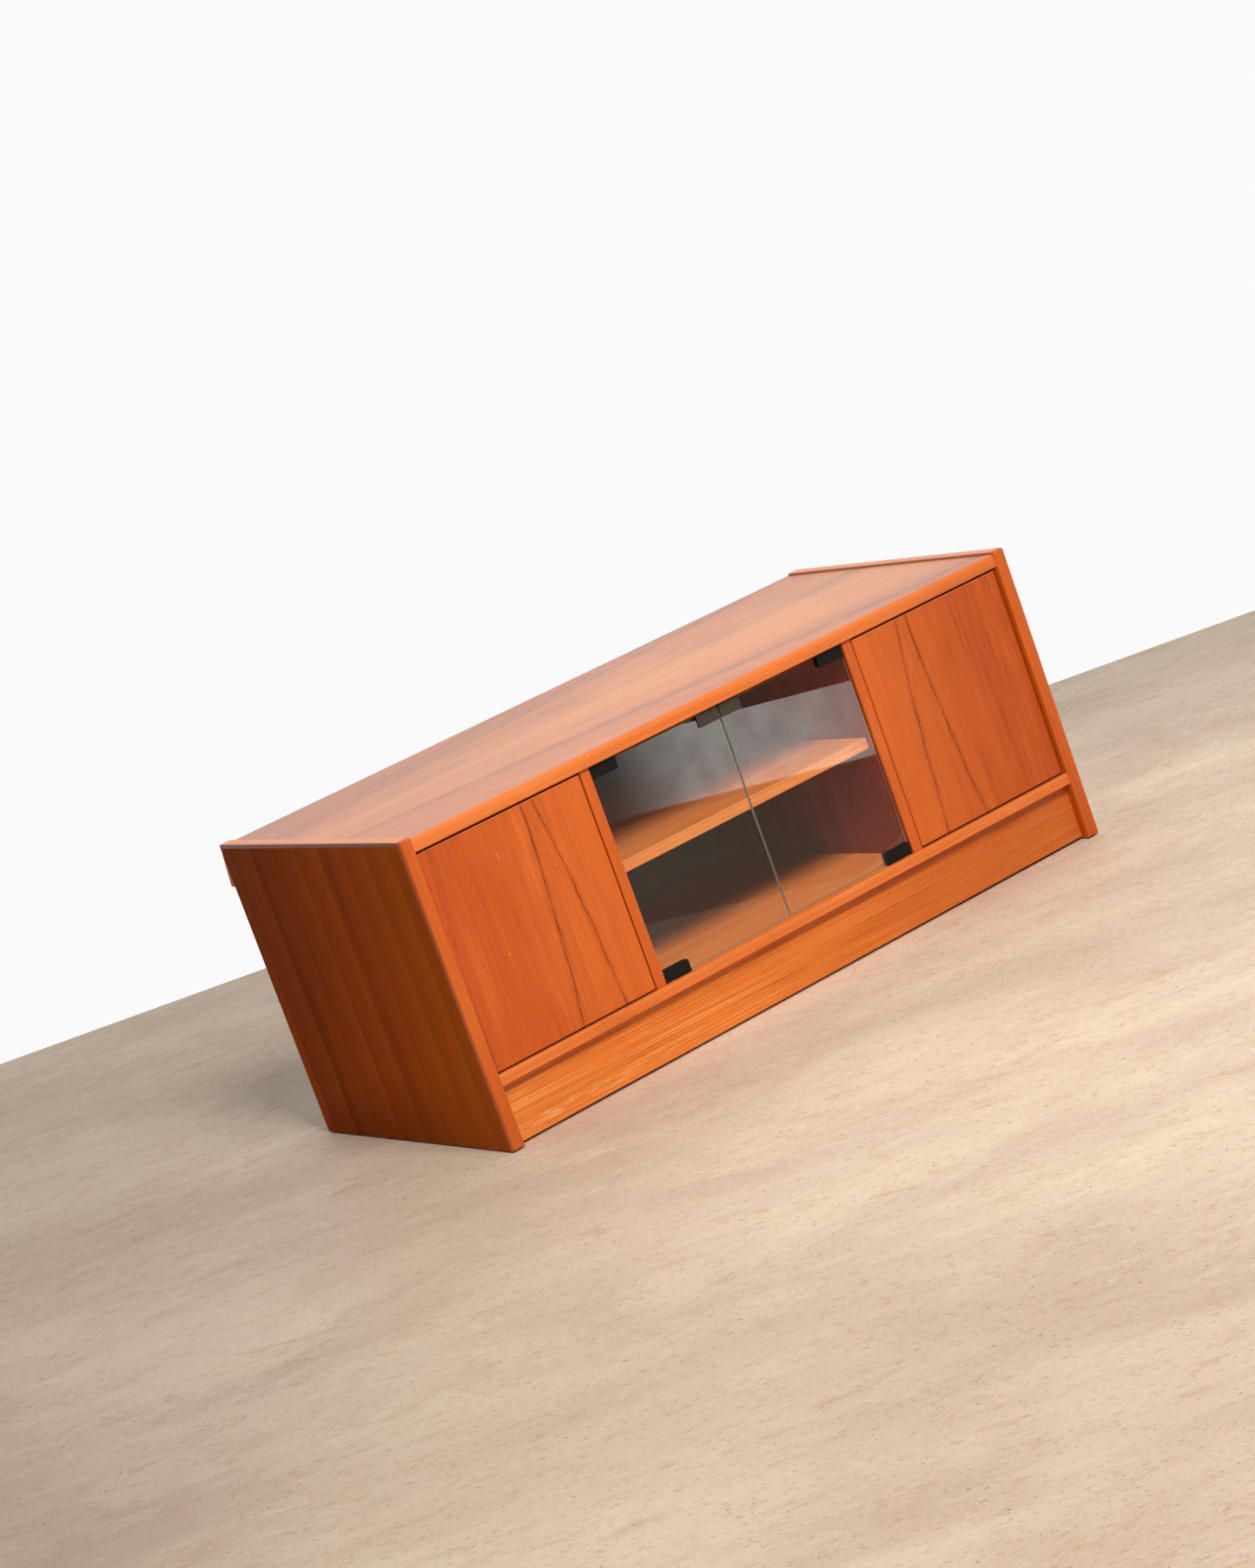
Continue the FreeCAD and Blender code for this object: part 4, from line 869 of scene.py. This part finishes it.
# %% Metals, plastics and rubber
def fitting(name, dark, light, metal, rough, scales, relief, shine=0.5):
    """A finish for a small fitting: two shades mixed by noise with its own stretch."""
    material, tree, shader, _, place = new_material(name)
    parts = parts_of(tree, place)
    marks = drawn_noise(tree, parts, scales, 4, 0.6)
    wear = noise(tree, place, 160, 3)
    base = fade(tree, colour(*dark), marks, 0.3, 0.7, 1.0, light)
    tree.links.new(base, shader.inputs["Base Color"])
    tree.links.new(ramp(tree, wear, 0.3, 0.7, rough - 0.06, rough + 0.08), shader.inputs["Roughness"])
    shader.inputs["Metallic"].default_value = metal
    shader.inputs["Specular IOR Level"].default_value = shine
    bump(tree, shader, marks, relief, 0.5)
    return material


# Two shades, metal or not, roughness, stretch of the marks, depth of the relief in metres, shine.
FINISHES = {
    "black_enamel": ((8, 7, 6), (17, 14, 12), 0.0, 0.46, (900, 900, 900), 0.00003, 0.3),
    "brushed_grey": ((80, 72, 64), (104, 95, 86), 0.8, 0.42, (120, 2400, 2400), 0.00001),
    "zinc_steel": ((150, 150, 148), (190, 190, 186), 1.0, 0.32, (1800, 1800, 300), 0.00001),
    "brass": ((176, 132, 62), (214, 172, 92), 1.0, 0.3, (500, 1800, 1800), 0.00001),
    "brown_plastic": ((58, 36, 24), (70, 45, 30), 0.0, 0.42, (1400, 1400, 1400), 0.00002),
    "white_plastic": ((214, 210, 200), (228, 224, 214), 0.0, 0.4, (1400, 1400, 1400), 0.00002),
    "old_nylon": ((118, 98, 72), (140, 120, 92), 0.0, 0.5, (1400, 1400, 1400), 0.00002),
    "black_rubber": ((22, 22, 22), (34, 33, 32), 0.0, 0.7, (2200, 2200, 2200), 0.00004),
}
finishes = {name: fitting(name, *values) for name, values in FINISHES.items()}
zinc_steel, brass = finishes["zinc_steel"], finishes["brass"]

for side in ("left", "right"):
    dress(finishes["black_enamel"], f"glass_{side}_hinge_clips")
    dress(finishes["brushed_grey"], f"glass_{side}_striker")
    dress(zinc_steel, f"glass_{side}_hinge_screws", f"glass_{side}_pivot_pins", f"door_{side}_strike_plate",
          f"door_{side}_magnet", f"glass_{side}_magnet")
    dress(brass, f"door_{side}_pivot_bushes")
    dress(finishes["white_plastic"], f"door_{side}_plunger", f"glass_{side}_plunger")
    dress(finishes["black_rubber"], f"glass_{side}_hinge_pads")
    dress(finishes["brown_plastic"], f"latch_housing_{side}")
dress(zinc_steel, "back_panel_nails", "rear_rail_screws", "floor_glides", "door_pivot_pins", "latch_screws")
dress(brass, "shelf_pins")
dress(finishes["old_nylon"], "door_pivot_washers", "glass_pivot_bushes")
dress(finishes["brown_plastic"], "latch_housing_centre")
print("all nodes dressed:", all(node.data.materials and node.data.materials[0] for node in nodes.values()))

# %% [markdown]
# The small parts. In the frame, screws, nails, glides and shelf pins are plain cylinders of the right
# size in the right place. On the real stand they are turned or stamped: a wood screw has a cross in
# its head, a set screw a six-sided hole, a nail a domed head, a glide is a shallow dish. Each is
# turned here again, as on a lathe, in the very place of the plain one. The places are measured from
# the frame's own solids, so they can't drift from it.

# %% Turned parts
SIDES = 48   # steps around; a cross and a hexagon both have their corners on one of them


def solids_of(name):
    """The separate solids of a node, each as its low and high corner, in a steady order."""
    shape = bmesh.new()
    shape.from_mesh(nodes[name].data)
    bmesh.ops.remove_doubles(shape, verts=shape.verts, dist=0.001 * MM)
    waiting = set(shape.verts)
    found = []
    while waiting:
        stack, members = [waiting.pop()], []
        while stack:
            vert = stack.pop()
            members.append(vert.co.copy())
            others = [edge.other_vert(vert) for edge in vert.link_edges]
            fresh = [other for other in others if other in waiting]
            waiting.difference_update(fresh)
            stack.extend(fresh)
        found.append((Vector(map(min, zip(*members))), Vector(map(max, zip(*members)))))
    shape.free()
    return sorted(found, key=lambda corners: tuple(round(part, 5) for part in corners[0]))


def round_edge(radius):
    return lambda angle: radius


def six_sided(flat):
    """The edge of a hexagon, given half its width across the flats."""
    step = math.pi / 3
    return lambda angle: flat / math.cos(angle % step - step / 2)


def cross_shaped(radius):
    """The edge of a cross recess: four wings, each 30 degrees of the circle wide."""
    half_wing = radius * math.tan(math.pi / 12)

    def edge(angle):
        turn = (angle + math.pi / 4) % (math.pi / 2) - math.pi / 4
        if abs(turn) <= math.pi / 12 + 1e-6:
            return radius / math.cos(turn)
        return half_wing / abs(math.sin(turn))
    return edge


def turn_part(shape, foot, axis, profile, recess=None, deep=0.0, spin=0.0):
    """Add a turned solid: rings of (radius, height) in mm along an axis, and a recess in its head."""
    to_axis = Vector((0, 0, 1)).rotation_difference(Vector(axis)).to_matrix()
    rings = [(round_edge(radius), up) for radius, up in profile]
    if recess:
        top = profile[-1][1]
        rings.append((recess, top))
        rings.append((lambda angle: recess(angle) * 0.82, top - deep))
    rows = []
    for edge, up in rings:
        row = []
        for index in range(SIDES):
            angle = 2 * math.pi * index / SIDES
            reach = edge(angle)
            local = Vector((reach * math.cos(angle + spin), reach * math.sin(angle + spin), up)) * MM
            row.append(shape.verts.new(foot + to_axis @ local))
        rows.append(row)
    for lower, upper in zip(rows, rows[1:]):
        for index in range(SIDES):
            after = (index + 1) % SIDES
            shape.faces.new((lower[index], lower[after], upper[after], upper[index]))
    shape.faces.new(list(reversed(rows[0])))
    shape.faces.new(rows[-1])


def finished_piece(name, shape, body, finish, replaced):
    """Turn a bmesh into a piece that takes the place of a node of the frame."""
    for face in shape.faces:
        face.smooth = True
    for edge in shape.edges:
        edge.smooth = edge.calc_face_angle(0.0) < math.radians(32)
    mesh = bpy.data.meshes.new(name)
    shape.to_mesh(mesh)
    shape.free()
    mesh.materials.append(finish)
    piece = bpy.data.objects.new(name, mesh)
    bpy.context.scene.collection.objects.link(piece)
    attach(piece, body)
    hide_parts(replaced)
    return piece


print("lathe ready,", len(solids_of("back_panel_nails")), "nails counted")

# %% [markdown]
# Each kind has its own profile, written from the hidden end to the head. The spin is how far the
# screwdriver happened to leave each head turned.

# %% Screws, nails, glides and pins
def middle_of(corners):
    return (corners[0] + corners[1]) / 2


def turned_set(name, node, body, finish, axis, make_profile, recess=None, deep=0.0):
    """Replace every solid of a node by a turned one along the same axis."""
    shape = bmesh.new()
    axis = Vector(axis)
    for index, corners in enumerate(solids_of(node)):
        length = abs((corners[1] - corners[0]).dot(axis)) / MM
        foot = middle_of(corners) - axis * (length / 2 * MM)
        turn_part(shape, foot, axis, make_profile(length), recess, deep, spin=1.7 * index)
    return finished_piece(name, shape, body, finish, node)


def nail(length):
    return [(0.15, 0), (0.8, 1.6), (0.8, length - 0.7), (1.75, length - 0.7), (1.8, length - 0.5),
            (1.5, length - 0.2), (0.9, length - 0.04), (0.3, length)]


def wood_screw(length):
    return [(0.2, 0), (1.3, 3.0), (1.5, 5.0), (1.5, length - 1.9), (2.9, length - 0.35), (3.0, length - 0.2),
            (2.9, length)]


def set_screw(length):
    return [(1.2, 0), (1.98, 0.6), (1.98, length - 0.35), (1.65, length)]


def shelf_pin(length):
    return [(2.0, 0), (2.5, 0.6), (2.5, length * 0.5), (2.3, length * 0.5 + 0.2), (2.3, length * 0.5 + 0.7),
            (2.5, length * 0.5 + 0.9), (2.5, length - 1.1), (2.3, length - 0.45), (1.8, length - 0.1),
            (1.2, length)]


turned_set("nails", "back_panel_nails", "case", zinc_steel, (0, 1, 0), nail)
turned_set("rail_screws", "rear_rail_screws", "case", zinc_steel, (0, 1, 0), wood_screw,
           cross_shaped(1.9), 1.3)
turned_set("latch_screw_heads", "latch_screws", "case", zinc_steel, (0, 0, -1), wood_screw,
           cross_shaped(1.9), 1.3)
for side in ("left", "right"):
    turned_set(f"set_screws_{side}", f"glass_{side}_hinge_screws", f"glass_door_{side}",
               zinc_steel, (0, 1, 0), set_screw, six_sided(1.0), 1.8)

glides = bmesh.new()
for corners in solids_of("floor_glides"):
    if (corners[1] - corners[0]).x > 10 * MM:   # the dish; the thin solid is its nail
        foot = Vector((middle_of(corners).x, middle_of(corners).y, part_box("floor_glides")[1].z))
        long = foot.z / MM
        turn_part(glides, foot, (0, 0, -1),
                  [(0.15, 0), (0.8, 1.8), (0.8, long - 2), (7.8, long - 2), (8.0, long - 1.7),
                   (8.0, long - 1.1), (7.5, long - 0.5), (6.4, long - 0.12), (4.8, long)])
finished_piece("glides", glides, "case", zinc_steel, "floor_glides")

pins = bmesh.new()
for corners in solids_of("shelf_pins"):
    middle = middle_of(corners)
    bay_middle = math.copysign((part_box("shelf_right")[0].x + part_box("shelf_right")[1].x) / 2, middle.x)
    axis = Vector((math.copysign(1.0, bay_middle - middle.x), 0, 0))
    length = (corners[1] - corners[0]).x / MM
    turn_part(pins, middle - axis * (length / 2 * MM), axis, shelf_pin(length))
finished_piece("pins", pins, "case", brass, "shelf_pins")
print("turned parts:", sum(len(solids_of(name)) for name in (
    "back_panel_nails", "rear_rail_screws", "latch_screws", "floor_glides", "shelf_pins")))

# %% [markdown]
# Nothing leaves a workshop with knife-sharp edges. The doors' arrises are broken with one stroke of
# sandpaper, and the mouldings and the steel plates are eased too. A narrow bevel does this.

# %% Eased edges
def ease(reach, steps, *names):
    for name in names:
        bevel = nodes[name].modifiers.new("eased_edges", "BEVEL")
        bevel.width = reach * MM
        bevel.segments = steps
        bevel.limit_method = "ANGLE"
        bevel.angle_limit = math.radians(50)


ease(0.7, 2, "door_left_panel", "door_right_panel")
ease(0.6, 2, "latch_housing_left", "latch_housing_right", "latch_housing_centre")
ease(0.2, 1, "door_left_strike_plate", "door_right_strike_plate")
ease(0.4, 2, "rear_rail", "plinth_glue_blocks")
print("edges eased")
